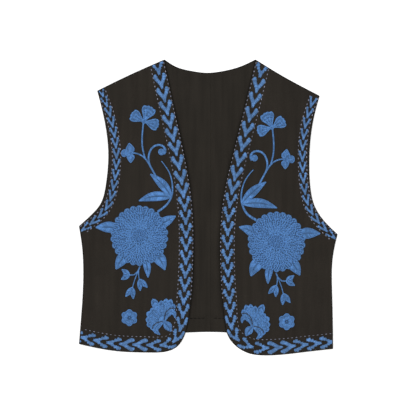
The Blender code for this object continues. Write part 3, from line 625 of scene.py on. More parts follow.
def spaced(places, end):
    """How far along each chevron of a border is, evenly spaced between its placed ones."""
    every = from_table(np.arange(places[-1][0] + 1), places)
    return every[every < end]


def border_line(side, name, insets, step=0.004):
    """The middle line of a border, along an edge of the front from its upper end."""
    line = edge(side, name, step)
    inward = -normals_of(line) if side == LEFT else normals_of(line)
    if name == "armhole":
        line, inward = line[::-1], inward[::-1]
    return line + inward * from_table(shares_along(line), insets)[:, None]


# How the cloth and the threads are built up
CLOTH_GRID = {"front": 0.0042, "back": 0.009}
# How much coarser the underside's is, and how far its points keep from the outline and from rows
UNDER_GRID = 2.5
GRID_MARGIN = 0.5
GRID_CLEAR = 0.35
# The rounded edge of a panel: inset from the outline, share of the thickness down from the face
EDGE_PROFILE = ((0.0016, 0.0), (0.0006, 0.12), (0.0, 0.32))
# An edge this near the centre back is a seam, and has the cloth's own finish instead of the painted shade
# of the other edges
SEAM_NEAR = 0.002
# A stitch's rings: how far along it they are, and their share of its half width
STITCH_RINGS = (0.0, 0.24, 0.76, 1.0)
STITCH_TAPER = (0.45, 1.0, 1.0, 0.45)
STITCH_HEIGHT = 0.75
STITCH_PITCH = 0.00066
STITCH_LONGEST = 0.0066
STITCH_STAGGER = (0.28, -0.12, 0.10, -0.26)
CHAIN_STEP = 0.0028
CHAIN_OVERLAP = 0.12
SHORTEST_STITCH = 0.0008

# How stitches look: half width, lift over the padding, tone
SATIN = (0.00042, 0.00032, ANY)
LEAF_EDGE = (0.0004, 0.00055, LIGHT)
MIDRIB = (0.0004, 0.0007, DEEP)
STEM_STITCH = (0.00048, 0.00042, ANY)
PETAL_RIM = ((0.955, (0.00062, 0.00066, LIGHT)), (0.860, (0.00030, 0.00066, DEEP)))
PETAL_LINES = ((0.00045, 0.00075, DEEP), (0.00060, 0.00075, LIGHT))
BUD_SLIT = (0.0007, 0.0011, DEEP)
PALMETTE_LINE = (0.0005, 0.0013, LINE)
ROSETTE_LINE = (0.0006, 0.0011, DEEP)
CHEVRON_ARM = (0.00050, 0.00044, ANY)
CHEVRON_STEM = (0.00050, 0.00052, ANY)
RUNNING_LIFT = 0.0005
# Knots: size, tone, lift, and how wide each is beside its length
KNOT = (0.00085, ANY, 0.0009)
KNOT_WIDTH = 0.95

# A leaf: how far its stitches slant, how narrow its root is, where it is widest, its longest
# stitch, and how near its half width its stitches and its light outline are
LEAF_SLANT = 0.55
LEAF_ROOT = 0.06
LEAF_SWELL = 0.85
LEAF_LONGEST = 0.012
LEAF_REACH = 0.97
LEAF_OUTLINE = 0.94
# A fan-shaped petal: its stitches' pitch beside the usual one, where they start and stop, as shares
# of the way to its rim, where its lines start and end, and how finely its rim is followed
FAN_PITCH = 1.15
FAN_ROOT = 0.10
FAN_STARTS = (0.0, 0.42, 0.18, 0.42)
FAN_SHORT = 0.02
FAN_LINES = (0.34, 0.70, 0.80)
FAN_LINE_STITCH = 0.004
FAN_RIM_STEP = 0.0012

# The first seed of each group of pieces
DESIGN_SEED, BORDER_SEED, RUNNING_SEED, CHEVRON_SEED = 20, 40, 50, 60

# The padding under the embroidery: what its foot and its face go down by, and that of a chevron
# over and under the cloth
PADDING_NEAR = 0.00005
PADDING_DROP = (0.0006, 0.0001)
CHEVRON_PADDING = (0.0006, -0.0003)

# Finer creases than the solids have, as the ridges above
CREASES = (
    (LEFT, -0.213, -0.050, -0.166, -0.074, 0.0050, 0.0006),
    (LEFT, -0.208, -0.072, -0.178, -0.104, 0.0060, 0.0005),
    (LEFT, -0.196, -0.132, -0.188, -0.200, 0.0055, 0.0006),
    (LEFT, -0.166, -0.140, -0.172, -0.212, 0.0060, 0.0005),
    (LEFT, -0.158, 0.168, -0.134, 0.206, 0.0060, 0.0006),
    (LEFT, -0.158, 0.092, -0.150, 0.134, 0.0055, 0.0005),
    (RIGHT, 0.212, -0.064, 0.166, -0.086, 0.0050, 0.0006),
    (RIGHT, 0.206, -0.088, 0.180, -0.118, 0.0060, 0.0005),
    (RIGHT, 0.198, -0.140, 0.186, -0.206, 0.0055, 0.0006),
    (RIGHT, 0.162, -0.150, 0.170, -0.215, 0.0060, 0.0005),
    (RIGHT, 0.154, 0.158, 0.132, 0.198, 0.0060, 0.0006),
    (RIGHT, 0.160, 0.080, 0.152, 0.126, 0.0055, 0.0005),
)
# How far each one bows out in its middle
CREASE_BOW = 0.003

# Rows of running stitches, and the sewing of the hem: stitch length, gap, half width
RUNNING = (0.0031, 0.0044, 0.00080)
HEM_SEWING = (0.0058, 0.0012, 0.00045)
# How far below the turn's upper edge the sewing is
HEM_SEWING_BELOW = 0.002
# How finely the back's hem is followed, in the cloth and in the sewing
HEM_STEP = 0.006
SEWING_STEP = 0.003


def waves(seed, count, shortest, longest, height, stretch=1.0):
    """A smooth uneven height over the plane, longer along Y by stretch."""
    random = np.random.default_rng(seed)
    turn = random.uniform(0, math.pi, count)
    number = 2 * math.pi / random.uniform(shortest, longest, count)
    phase = random.uniform(0, 2 * math.pi, count)

    def at(x, y):
        along = np.cos(turn) * np.ravel(x)[:, None] + np.sin(turn) * np.ravel(y)[:, None] / stretch
        return height * np.sin(number * along + phase).sum(axis=1) / math.sqrt(count)

    return at


front_waves = waves(4, 9, 0.018, 0.060, 0.00009, 2.5)
back_waves = waves(7, 9, 0.030, 0.090, 0.00012, 2.5)


def cloth_top(side, x, y):
    """The height of a front's upper face as it is seen, with its finer creases."""
    height = front_top(side, x, y) + front_waves(x, y)
    for where, x0, y0, x1, y1, half_width, top in CREASES:
        if where == side:
            middle = np.array([(x0, y0), ((x0 + x1) / 2 + CREASE_BOW, (y0 + y1) / 2), (x1, y1)])
            away = distance_to(middle, x, y)
            height += top * np.exp(-((away / half_width) ** 2))
    return height


def inside_top(x, y):
    """The height of the back's inner face as it is seen: the turned hem has a soft upper edge."""
    away = distance_to(back_edge("hem", HEM_STEP), x, y) - HEM_TURN_WIDTH
    return BACK_CLOTH + HEM_TURN_RISE * (1 - ease(away / HEM_TURN_EDGE)) + back_waves(x, y)


def new_object(name, parts, finishes):
    """A smooth-shaded mesh object from parts: points, faces and the finish of each face."""
    loops, lengths, base = [], [], 0
    for points, faces, _ in parts:
        loops.append(np.concatenate([np.asarray(f) for f in faces]) + base)
        lengths += [len(f) for f in faces]
        base += len(points)
    loops = np.concatenate(loops)
    mesh = bpy.data.meshes.new(name)
    mesh.vertices.add(base)
    mesh.loops.add(len(loops))
    mesh.polygons.add(len(lengths))
    for finish in finishes:
        mesh.materials.append(finish)
    for table, field, kind, values in (
        (mesh.vertices, "co", np.float32, np.vstack([part[0] for part in parts])),
        (mesh.loops, "vertex_index", np.int32, loops),
        (mesh.polygons, "loop_start", np.int32, np.cumsum([0, *lengths[:-1]])),
        (mesh.polygons, "material_index", np.int32, np.concatenate([part[2] for part in parts])),
    ):
        table.foreach_set(field, np.ascontiguousarray(values, kind).ravel())
    mesh.update(calc_edges=True)
    mesh.validate()
    mesh.shade_smooth()
    made = bpy.data.objects.new(name, mesh)
    bpy.context.scene.collection.objects.link(made)
    return made


def add_cloth(name, ring, spacing, heights, rows, finishes):
    """A panel of cloth as it is seen: a fine shell with soft edges, which have the second finish, a
    painted shade that darkens the rounded edge.
    """
    top_height, under_height = heights
    rings = [inset(ring, by) for by, _ in EDGE_PROFILE]
    count = len(ring)
    points, faces, rims, tones = [], [], [], []
    for upwards, grid_step in ((True, spacing), (False, spacing * UNDER_GRID)):
        grid = inside_points(rings[0], grid_step, grid_step * GRID_MARGIN)
        if len(rows):
            gap = np.array([np.linalg.norm(rows - g, axis=1).min() for g in grid])
            grid = np.vstack([grid[gap > grid_step * GRID_CLEAR], rows])
        flat, triangles = triangulate(rings[0], grid)
        base = len(points)
        height = top_height if upwards else under_height
        order = 1 if upwards else -1
        points.extend(np.column_stack([flat, height(*flat.T)]))
        faces.extend([v + base for v in t][::order] for t in triangles)
        # Painted shade: the rounded edge faces, except at the centre-back seam, get the dark second
        # finish
        edge_painted_shade = (np.abs(ring[:, 0] - CENTRE_BACK) > SEAM_NEAR).astype(int)
        tones += [0] * len(triangles) + [*edge_painted_shade] * (len(rings) - 1)
        within = [int(np.linalg.norm(flat - p, axis=1).argmin()) + base for p in rings[0]]
        for edge_ring, (_, share) in zip(rings[1:], EDGE_PROFILE[1:]):
            thick = top_height(*edge_ring.T) - under_height(*edge_ring.T)
            z = height(*edge_ring.T) - order * share * thick
            outer = list(range(len(points), len(points) + count))
            points.extend(np.column_stack([edge_ring, z]))
            for i in range(count):
                j = (i + 1) % count
                faces.append([outer[i], outer[j], within[j], within[i]][::order])
            within = outer
        rims.append(within)
    for i in range(count):
        j = (i + 1) % count
        faces.append([rims[1][i], rims[1][j], rims[0][j], rims[0][i]])
    tones += [*edge_painted_shade]
    return new_object(name, [(np.array(points), faces, tones)], finishes)


# Threads


def read(line, at, values=None):
    """The points of a line, or other values over it, at some distances along it."""
    values = line if values is None else values
    return np.stack([np.interp(at, lengths_along(line), values[:, k]) for k in (0, 1)], axis=1)


def evenly(line, count):
    """A number of points evenly along a line."""
    return read(line, np.linspace(0, lengths_along(line)[-1], count))


def resample(line, step):
    """Points about step apart along a line."""
    line = np.asarray(line, float)
    return evenly(line, max(2, round(lengths_along(line)[-1] / step) + 1))


def stitch_rows(starts, ends, look=SATIN):
    """One row for each stitch: start, end, and how it looks."""
    starts, ends = np.asarray(starts, float), np.asarray(ends, float)
    return np.hstack([starts, ends, np.tile(look, (len(starts), 1))])


def split(starts, ends, longest=STITCH_LONGEST, look=SATIN):
    """Long stitches broken into shorter ones, whose ends are staggered from row to row."""
    made = []
    for i, (a, b) in enumerate(zip(np.asarray(starts, float), np.asarray(ends, float))):
        pieces = max(1, math.ceil(np.linalg.norm(b - a) / longest))
        cuts = (np.arange(1, pieces) + STITCH_STAGGER[i % len(STITCH_STAGGER)]) / pieces
        joints = a + (b - a) * np.concatenate([[0.0], cuts, [1.0]])[:, None]
        made.append(stitch_rows(joints[:-1], joints[1:], look))
    return np.vstack(made)


def chained(line, look, step=CHAIN_STEP):
    """A row of stitches along a line, each starting a little before the last one's end."""
    at = resample(line, step)
    return stitch_rows(at[:-1] - (at[1:] - at[:-1]) * CHAIN_OVERLAP, at[1:], look)


def fishbone(half_width, route):
    """A leaf's stitches, slanting from its midrib to its edges, with a light outline."""
    line = spline(route, STITCH_PITCH)
    share = shares_along(line)
    wide = half_width * (LEAF_ROOT + (1 - LEAF_ROOT) * np.sin(math.pi * share**LEAF_SWELL))
    across = normals_of(line) * wide[:, None]
    ahead = max(1, round(LEAF_SLANT * half_width / STITCH_PITCH))
    last = len(line) - 1
    root = np.clip(np.arange(-ahead // 2, last), 0, last)
    end = np.clip(np.arange(-ahead // 2, last) + ahead, 0, last)
    made = []
    for sign in (1.0, -1.0):
        made.append(split(line[root], line[end] + sign * across[end] * LEAF_REACH, LEAF_LONGEST))
        made.append(chained(line + sign * across * LEAF_OUTLINE, LEAF_EDGE))
    made.append(chained(line[last // 8 : last * 3 // 4], MIDRIB))
    return np.vstack(made)


def stem_stitches(root, tip, route, before=0.0):
    """A stem's slanting stitches, which may start some way before its root."""
    ahead = np.subtract(route[0], route[1])
    route = [np.add(route[0], ahead / np.linalg.norm(ahead) * before), *route] if before else route
    line = spline(route, STITCH_PITCH * STEM_PITCH)
    across = normals_of(line) * (root + (tip - root) * shares_along(line))[:, None]
    return stitch_rows((line - across)[:-STEM_SLANT], (line + across)[STEM_SLANT:], STEM_STITCH)


def fan(root, rim, lines=0):
    """A petal's stitches, from its root to its rim, the rows at its rim, and the lines on it."""
    root = np.asarray(root, float)
    ends = resample(rim, STITCH_PITCH * FAN_PITCH)
    starts = root + (ends - root) * FAN_ROOT
    share = np.array([FAN_STARTS[i % len(FAN_STARTS)] for i in range(len(ends))])
    starts = starts + (ends - starts) * share[:, None]
    made = [split(starts, ends - (ends - starts) * FAN_SHORT)]
    for share, look in PETAL_RIM:
        made.append(chained(root + (np.asarray(rim) - root) * share, look))
    if lines:
        near, short, far = FAN_LINES
        way = evenly(rim, 2 * lines + 1)[1:-1] - root
        reach = np.where(np.arange(len(way)) % 4, far, short)[:, None]
        for first, look in enumerate(PETAL_LINES):
            a, b = (root + way * near)[first::2], (root + way * reach)[first::2]
            made.append(split(a, b, FAN_LINE_STITCH, look))
    return np.vstack(made)


def petal_stitches(centre, angle, length, half_width, end="round"):
    """A fan-shaped petal's stitches."""
    ring = petal(centre, angle, length, half_width, end)
    return fan(centre, spline(ring[1:-1], FAN_RIM_STEP), 5 if end == "scalloped" else 2)


def round_patch(centre, radius, count):
    """Stitches from a centre to a round rim."""
    ring = disc(centre, radius, count)
    return fan(centre, np.vstack([ring, ring[:1]]))


def knots(centres, size=KNOT[0], tone=KNOT[1], lift=KNOT[2]):
    """Small round knots."""
    centres = np.asarray(centres, float)
    random = np.random.default_rng(len(centres))
    turn = random.uniform(0, math.pi, len(centres))
    half = rays(turn) * size
    return stitch_rows(centres - half, centres + half, (size * KNOT_WIDTH, lift, tone))


def long_petal(middle, half_angle, tip, root, lift, tones):
    """A long petal of the blossom: rows of stitches nested in one another, round its tip."""
    reach = BLOSSOM_RADII[1]
    length, half = (tip - root) * reach, half_angle * tip * reach * PETAL_WIDE
    bend = np.linspace(-math.pi / 2, math.pi / 2, PETAL_BEND)
    made = []
    rows = max(2, math.floor(half / PETAL_ROW))
    for row in range(rows):
        away = (row + 0.5) * PETAL_ROW
        wide, far = half - away, length - away * PETAL_CLOSING
        waist = wide * PETAL_WAIST
        shoulder = max(far - wide, length * PETAL_STRAIGHT)
        along = np.concatenate([[0.0], shoulder + (far - shoulder) * np.cos(bend), [0.0]])
        across = np.concatenate([[-waist], wide * np.sin(bend), [waist]])
        out = root * reach + along
        route = from_centre(middle + across / out) * (out / reach)[:, None]
        rise = lift + PETAL_CROWN * (1 - (1 - row / rows) ** 2)
        look = (PETAL_ROW * PETAL_FILL, rise, tones[row % len(tones)])
        made.append(chained(route + BLOSSOM_CENTRE, look, PETAL_STITCH))
    return np.vstack(made)


def blossom_stitches(side):
    """Layers of long petals round a centre of knots, and the pointed leaves behind them."""
    random = np.random.default_rng(11)
    made = [
        fishbone(half_width, np.add(route, BLOSSOM_CENTRE))
        for half_width, route in (*BLOSSOM_LEAVES, BLOSSOM_INNER_LEAF[side])
    ]
    lowest, step, uneven = PETAL_LIFTS
    for layer, (tip, root, petals) in enumerate(BLOSSOM_LAYERS):
        loose = min(layer, 1)
        for k in range(petals):
            turn = (k + 0.5 + loose * random.uniform(-PETAL_TURN, PETAL_TURN)) * 2 * math.pi / petals
            reach = tip + loose * random.uniform(-PETAL_REACH, PETAL_REACH)
            half_angle = math.pi / petals * (1 + loose * random.uniform(*PETAL_WIDTHS))
            lift = lowest + step * layer + uneven * random.uniform(0, 1)
            tones = PETAL_TONES[random.integers(len(PETAL_TONES)) if loose else 0]
            made.append(long_petal(turn, half_angle, reach, root, lift, tones))
    for size, tone, lift, total in BLOSSOM_KNOTS:
        count = np.arange(1, total + 1)
        away = np.sqrt(count / total) * BLOSSOM_RADII[0] * BLOSSOM_HEART
        golden = count * math.pi * (3 - math.sqrt(5))
        spots = rays(golden) * away[:, None] + BLOSSOM_CENTRE
        spots += random.uniform(-KNOT_SHIFT, KNOT_SHIFT, spots.shape)
        made.append(knots(spots, size, tone, lift))
    for ring in np.arange(BLOSSOM_HEART, STROKE_LAST, STROKE_RING):
        count = round(2 * math.pi * ring * BLOSSOM_RADII[0] / STROKE_PITCH)
        turn = (np.arange(count) + random.uniform(-STROKE_TURN, STROKE_TURN, count)) * 2 * math.pi / count
        start = ring + random.uniform(-STROKE_START, STROKE_START, count)
        end = np.minimum(start + STROKE_RING * random.uniform(*STROKE_LENGTHS, count), STROKE_END)
        for k, look in enumerate(STROKES):
            way = turn + k * math.pi / count
            a = from_centre(way) * start[:, None] + BLOSSOM_CENTRE
            b = from_centre(way + STROKE_CURL) * end[:, None] + BLOSSOM_CENTRE
            made.append(stitch_rows(a, b, look))
    return np.vstack(made)


def sprig_stitches(side):
    made = [stem_stitches(*MAIN_STEM[side], STEM_TUCK), stem_stitches(*CURL_TURN)]
    made += [stem_stitches(*row) for row in STEMS]
    made += [fishbone(*row) for row in LEAVES[side]]
    x, y, radius = CURL_KNOB
    made.append(round_patch((x, y), radius * KNOB_SHARE, 40))
    for x, y, petals in TREFOILS:
        made += [petal_stitches((x, y), *row) for row in petals]
        if petals[0][3] == "scalloped":
            made.append(round_patch((x, y), TREFOIL_HEART, 24))
        made.append(knots(disc((x, y), TREFOIL_KNOTS, 5)))
    return np.vstack(made)


def bud_stitches():
    made = []
    for root, tip, route in BUD_STEMS:
        made.append(stem_stitches(root * BUD_STEM_SLIM, tip * BUD_STEM_SLIM, route, STEM_TUCK))
    for x, y, angle, length, spread in BUDS:
        for offset, share in ((-spread, 1.0), (spread, 1.0), (0.0, BUD_MIDDLE)):
            route = turned([(0.0, 0.0), (length * 0.5, 0.0), (length, 0.0)], angle + offset)
            made.append(fishbone(BUD_HALF_WIDTH, route * share + (x, y)))
        slit = turned([(length * BUD_SLIT_START, 0.0), (length * BUD_MIDDLE, 0.0)], angle) + (x, y)
        made.append(chained(slit, BUD_SLIT))
    return np.vstack(made)


def palmette_stitches():
    """A fan of petals, two curled petals in front of it, each set off by a dark line, and a bulb."""
    made = [petal_stitches((0.0, 0.0), *row) for row in PALMETTE_PETALS]
    made += [fishbone(*row) for row in (*PALMETTE_CURLS, PALMETTE_BULB)]
    for route in PALMETTE_LINES:
        line = spline(route, PALMETTE_LINE_STEP)
        for sign in (-1.0, 1.0):
            beside = line + normals_of(line) * sign * PALMETTE_LINE_SHIFT
            made.append(chained(beside, PALMETTE_LINE, PALMETTE_LINE_STITCH))
    return np.vstack(made)


def rosette_stitches():
    """Six petals round a dark ring and a knot."""
    made = []
    for k in range(ROSETTE_PETALS):
        middle = 2 * math.pi * k / ROSETTE_PETALS
        turn = middle + np.linspace(-1, 1, 15) * math.pi / ROSETTE_PETALS
        lobe = np.abs(np.cos(turn * ROSETTE_PETALS / 2)) - ROSETTE_DEEP
        radius = ROSETTE_RADIUS + ROSETTE_LOBE * lobe
        made.append(fan((0, 0), left_of(rays(turn)) * radius[:, None]))
        way = turned([ROSETTE_DARK], math.degrees(middle + math.pi / ROSETTE_PETALS) + 90.0)[0]
        made.append(stitch_rows([way * ROSETTE_DARK_START], [way], ROSETTE_LINE))
    made.append(chained(disc((0, 0), ROSETTE_RING, 13), ROSETTE_LINE, ROSETTE_STITCH))
    made.append(knots([(0.0, 0.0)], ROSETTE_KNOT, LIGHT))
    return np.vstack(made)


def along_line(line):
    """A function from a place along a line and across it to a point, and the line's length."""
    length = lengths_along(line)[-1]
    normals = normals_of(line)

    def at(u, v):
        u = np.asarray(u, float)
        beyond = np.minimum(u, 0) + np.maximum(u - length, 0)
        normal = unit(read(line, u, normals))
        return read(line, u) - left_of(normal) * beyond[:, None] + normal * np.asarray(v, float)[:, None]

    return at, length


def chevron_stitches(line, half, places, seed):
    """The stitches of a row of chevrons, and the outline of the padding under each."""
    random = np.random.default_rng(seed)
    at, length = along_line(line)
    half = np.array(half)
    crotch = len(half) - 3
    peak = (half[2] + half[3]) / 2 - (CHEVRON_PEAK, 0.0)
    inner, outer = (spline([*row, peak], CHEVRON_STEP) for row in (half[:3], half[crotch:2:-1]))
    count = round(lengths_along(outer)[-1] / CHEVRON_PITCH)
    inner, outer = evenly(inner, count), evenly(outer, count)
    inner = inner + [(CHEVRON_NOTCH, 0.0)] * np.linspace(1, 0, count)[:, None] ** 3
    wide = np.linalg.norm(outer - inner, axis=1)[:, None]
    across = (outer - inner) / np.maximum(wide, 1e-6)
    knobby = np.abs(np.sin((np.arange(count)[::-1] / CHEVRON_CLUMP) * math.pi))[:, None] - CHEVRON_SLIM
    knobby = knobby * CHEVRON_UNEVEN * np.minimum(wide / CHEVRON_WIDE, 1.0)
    root, tip = half[0][0] + CHEVRON_ROOT, half[crotch + 1][0]
    stem_u = np.arange(root, tip - CHEVRON_SLANT, CHEVRON_PITCH)
    stem_v = np.interp(stem_u + CHEVRON_SLANT, *half[crotch : crotch + 2].T)
    made, pads = [], []
    for u in spaced(places, length):
        for sign in (1.0, -1.0):
            shake = random.normal(0, CHEVRON_SHAKE, (2, count, 1))
            tips = outer + across * (knobby + shake[0])
            roots = inner - across * (knobby * CHEVRON_INNER + shake[1])
            a = at(roots[:, 0] + u, roots[:, 1] * sign)
            b = at(tips[:, 0] + u, tips[:, 1] * sign)
            made.append(stitch_rows(a, b, CHEVRON_ARM)[: count - 2])
            a = at(stem_u + u, -stem_v * CHEVRON_OVER * sign)
            b = at(stem_u + CHEVRON_SLANT + u, stem_v * sign)
            made.append(stitch_rows(a, b, CHEVRON_STEM))
        rim = np.vstack([half[: crotch + 2], half[crotch + 1 : 0 : -1] * (1, -1)])
        pads.append(at(rim[:, 0] + u, rim[:, 1]))
    return np.vstack(made), pads


def trimmed(rows, ring):
    """Stitches that cross an outline are cut off there, and those outside it are left out."""
    within = inside(ring, rows[:, 0:2])
    other = inside(ring, rows[:, 2:4])
    rows = np.where((other & ~within)[:, None], rows[:, [2, 3, 0, 1, 4, 5, 6]], rows)
    start, run = rows[:, 0:2], rows[:, 2:4] - rows[:, 0:2]
    share = np.where(within & other, 1.0, 0.0)[:, None]
    for step in 0.5 ** np.arange(1, 9):
        ahead = np.minimum(share + step, 1.0)
        share = np.where(inside(ring, start + run * ahead)[:, None], ahead, share)
    rows = np.hstack([start, start + run * share, rows[:, 4:]])
    return rows[(within | other) & (np.linalg.norm(run * share, axis=1) > SHORTEST_STITCH)]


def dashes(line, step):
    """A row of running stitches along a line."""
    length, gap, half_width = step
    at, total = along_line(line)
    u = np.arange(gap, total - length, length + gap)
    return stitch_rows(at(u, 0 * u), at(u + length, 0 * u), (half_width, RUNNING_LIFT, ANY))


def ground_of(cloth, padding=None):
    """The height of the cloth over each point, and that of the padding where it is higher."""
    tree = BVHTree.FromPolygons(*padding) if padding else None

    def at(x, y):
        low = cloth(x, y)
        high = low.copy()
        for i, (px, py) in enumerate(zip(x, y) if tree else ()):
            hit = tree.ray_cast(Vector((px, py, RAY_FROM)), Vector((0, 0, -1)))[0]
            if hit is not None:
                high[i] = max(high[i], hit.z)
        return low, high

    return at


def thread_part(rows, ground, tuck, tones):
    """The tubes of the stitches, for new_object. Where tuck is 1, their ends go down to the cloth."""
    start, end = rows[:, 0:2], rows[:, 2:4]
    run = end - start
    length = np.maximum(np.linalg.norm(run, axis=1), 1e-6)[:, None]
    side_way = left_of(run) / length
    rings = []
    for t, taper in zip(STITCH_RINGS, STITCH_TAPER):
        centre = start + run * t
        low, high = ground(*centre.T)
        z = high + ((low - high) * tuck if t in (0.0, 1.0) else rows[:, 5])
        wide = (rows[:, 4] * taper)[:, None]
        rise = wide[:, 0] * STITCH_HEIGHT
        left = np.column_stack([centre + side_way * wide, z])
        right = np.column_stack([centre - side_way * wide, z])
        crown = np.column_stack([centre, z + rise])
        foot = np.column_stack([centre, z - rise])
        rings.append(np.stack([left, crown, right, foot], axis=1))
    vertices = np.stack(rings, axis=1)
    ring_count, around = vertices.shape[1:3]
    quads = [tuple(range(around))[::-1], tuple(range((ring_count - 1) * around, ring_count * around))]
    for base in range(0, (ring_count - 1) * around, around):
        for k in range(around):
            m = (k + 1) % around
            quads.append((base + k, base + m, base + around + m, base + around + k))
    quads = np.array(quads)[:, ::-1]
    firsts = np.arange(len(rows)) * ring_count * around
    faces = (firsts[:, None, None] + quads[None]).reshape(-1, around)
    return vertices.reshape(-1, 3), faces, np.repeat(tones, len(quads))


def tones_of(rows, seed):
    """The tone of each stitch: its own, or one that drifts over the work."""
    random = np.random.default_rng(seed)
    drift = waves(seed, 7, 0.008, 0.030, 0.9)(rows[:, 0], rows[:, 1]) * TONE_DRIFT
    own = np.round(TONE_MIDDLE + drift + random.normal(0, TONE_SPREAD, len(rows)))
    return np.where(rows[:, 6] == ANY, np.clip(own, 0, TONES - 1), rows[:, 6]).astype(int)


def add_threads(name, side, node, rows, finishes, seed, pads=None):
    """A patch of embroidery: its padding, let down on to the cloth, and its threads."""

    def height(x, y):
        return cloth_top(side, x, y)

    mesh = bpy.data.objects[node].data
    points = [v.co.copy() for v in mesh.vertices]
    faces = [tuple(p.vertices) for p in mesh.polygons]
    ground = ground_of(height, (points, faces))
    parts = [thread_part(rows, ground, THREAD_TUCK, tones_of(rows, seed))]
    if pads is None:
        flat = np.array([p[:] for p in points])
        at_foot = flat[:, 2] < front_top(side, *flat[:, :2].T) + THREAD_GAP + PADDING_NEAR
        flat[:, 2] -= np.where(at_foot, *PADDING_DROP)
        parts.append((flat, faces, np.zeros(len(faces))))
    for rim in pads or ():
        n = len(rim)
        shell = np.vstack([np.column_stack([rim, height(*rim.T) + over]) for over in CHEVRON_PADDING])
        walls = [(i, i + n, (i + 1) % n + n, (i + 1) % n) for i in range(n)]
        parts.append((shell, [tuple(range(n)), *walls], np.zeros(n + 1)))
    made = new_object(name, parts, finishes)
    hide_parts(node)
    return made


# Finishes


def node_tree_of(name, roughness, specular, sheen):
    made = bpy.data.materials.new(name)
    made.use_nodes = True
    tree = made.node_tree
    shader = tree.nodes["Principled BSDF"]
    shader.inputs["Roughness"].default_value = roughness
    shader.inputs["Specular IOR Level"].default_value = specular
    shader.inputs["Sheen Weight"].default_value = sheen
    shader.inputs["Sheen Roughness"].default_value = 0.55
    return made, tree, shader


def texture(tree, kind, place, scale=(1, 1, 1), **values):
    """A procedural texture over the object's own metres, stretched by scale."""
    mapping = tree.nodes.new("ShaderNodeMapping")
    mapping.inputs["Scale"].default_value = scale
    tree.links.new(place.outputs["Object"], mapping.inputs["Vector"])
    node = tree.nodes.new(kind)
    for key, value in values.items():
        node.inputs[key.replace("_", " ")].default_value = value
    tree.links.new(mapping.outputs["Vector"], node.inputs["Vector"])
    return node


def ramp(tree, source, low, high, start=0.3, end=0.7):
    node = tree.nodes.new("ShaderNodeValToRGB")
    node.color_ramp.elements[0].position = start
    node.color_ramp.elements[1].position = end
    node.color_ramp.elements[0].color = (*low, 1)
    node.color_ramp.elements[1].color = (*high, 1)
    tree.links.new(source.outputs["Fac"], node.inputs["Fac"])
    return node


def mixed(tree, kind, factor, first, second):
    node = tree.nodes.new("ShaderNodeMix")
    node.data_type = "RGBA"
    node.blend_type = kind
    node.inputs["Factor"].default_value = factor
    tree.links.new(first.outputs[0], node.inputs["A"])
    tree.links.new(second.outputs[0], node.inputs["B"])
    out = tree.nodes.new("NodeReroute")
    tree.links.new(node.outputs["Result"], out.inputs[0])
    return out


def bumped(tree, shader, heights):
    """Bumps of some textures, each with its strength and depth in metres."""
    last = None
    for source, strength, depth in heights:
        bump = tree.nodes.new("ShaderNodeBump")
        bump.inputs["Strength"].default_value = strength
        bump.inputs["Distance"].default_value = depth
        tree.links.new(source.outputs["Fac"], bump.inputs["Height"])
        if last:
            tree.links.new(last.outputs["Normal"], bump.inputs["Normal"])
        last = bump
    tree.links.new(last.outputs["Normal"], shader.inputs["Normal"])


def cloth_finish(name, dark, light, seed):
    """Matt black-brown cloth with a fine twill, faint lengthwise streaks and a short nap."""
    made, tree, shader = node_tree_of(name, 0.93, 0.08, 0.015)
    place = tree.nodes.new("ShaderNodeTexCoord")
    streaks = texture(tree, "ShaderNodeTexNoise", place, (1, 0.07, 1), Scale=105 + seed, Detail=4)
    nap = texture(tree, "ShaderNodeTexNoise", place, Scale=900, Detail=3)
    clouds = texture(tree, "ShaderNodeTexNoise", place, Scale=16 + seed, Detail=2)
    twill = texture(tree, "ShaderNodeTexWave", place, (1, 0.5, 1), Scale=360, Distortion=0.6)
    twill.bands_direction = "DIAGONAL"
    tone = ramp(tree, streaks, dark, light)
    fuzz = ramp(tree, nap, (0.80, 0.80, 0.80), (1.16, 1.16, 1.16))
    worn = ramp(tree, clouds, (0.92, 0.92, 0.92), (1.07, 1.06, 1.05))
    colour = mixed(tree, "MULTIPLY", 1.0, mixed(tree, "MULTIPLY", 1.0, tone, fuzz), worn)
    tree.links.new(colour.outputs[0], shader.inputs["Base Color"])
    bumped(tree, shader, ((twill, 0.35, 0.00012), (nap, 0.30, 0.00025)))
    return made


def thread_finish(name, dark, light, fine=2400):
    """Soft twisted embroidery thread."""
    made, tree, shader = node_tree_of(name, 0.62, 0.22, 0.10)
    place = tree.nodes.new("ShaderNodeTexCoord")
    shade = texture(tree, "ShaderNodeTexNoise", place, Scale=260, Detail=3)
    ply = texture(tree, "ShaderNodeTexNoise", place, Scale=fine, Detail=2)
    tone = ramp(tree, shade, dark, light)
    fuzz = ramp(tree, ply, (0.86, 0.86, 0.86), (1.10, 1.10, 1.10))
    colour = mixed(tree, "MULTIPLY", 1.0, tone, fuzz)
    tree.links.new(colour.outputs[0], shader.inputs["Base Color"])
    bumped(tree, shader, ((ply, 0.5, 0.0001),))
    return made


def times(colour, share):
    return tuple(min(1.0, c * share) for c in colour)


def cloth_with_shaded_edge(name, colour, seed):
    """The finish of a cloth's face and the darker one of its edge, which is painted shade on the rounded
    edge.
    """
    return [
        cloth_finish(name, times(colour, 0.84), times(colour, 1.10), seed),
        # Painted shade: the edge finish is a quarter to a half of the cloth's colour, darkening the
        # rounded edge
        cloth_finish(f"{name} edge", times(colour, 0.25), times(colour, 0.45), seed),
    ]


def thread_family(name, colour):
    """The tones of one thread, from dark to light."""
    return [
        thread_finish(f"{name} {word}", times(colour, low), times(colour, high))
        for word, low, high in (
            ("dark", 0.66, 0.86), ("middle", 0.92, 1.14), ("light", 1.26, 1.60), ("deep", 0.36, 0.50)
        )
    ]


# Pieces


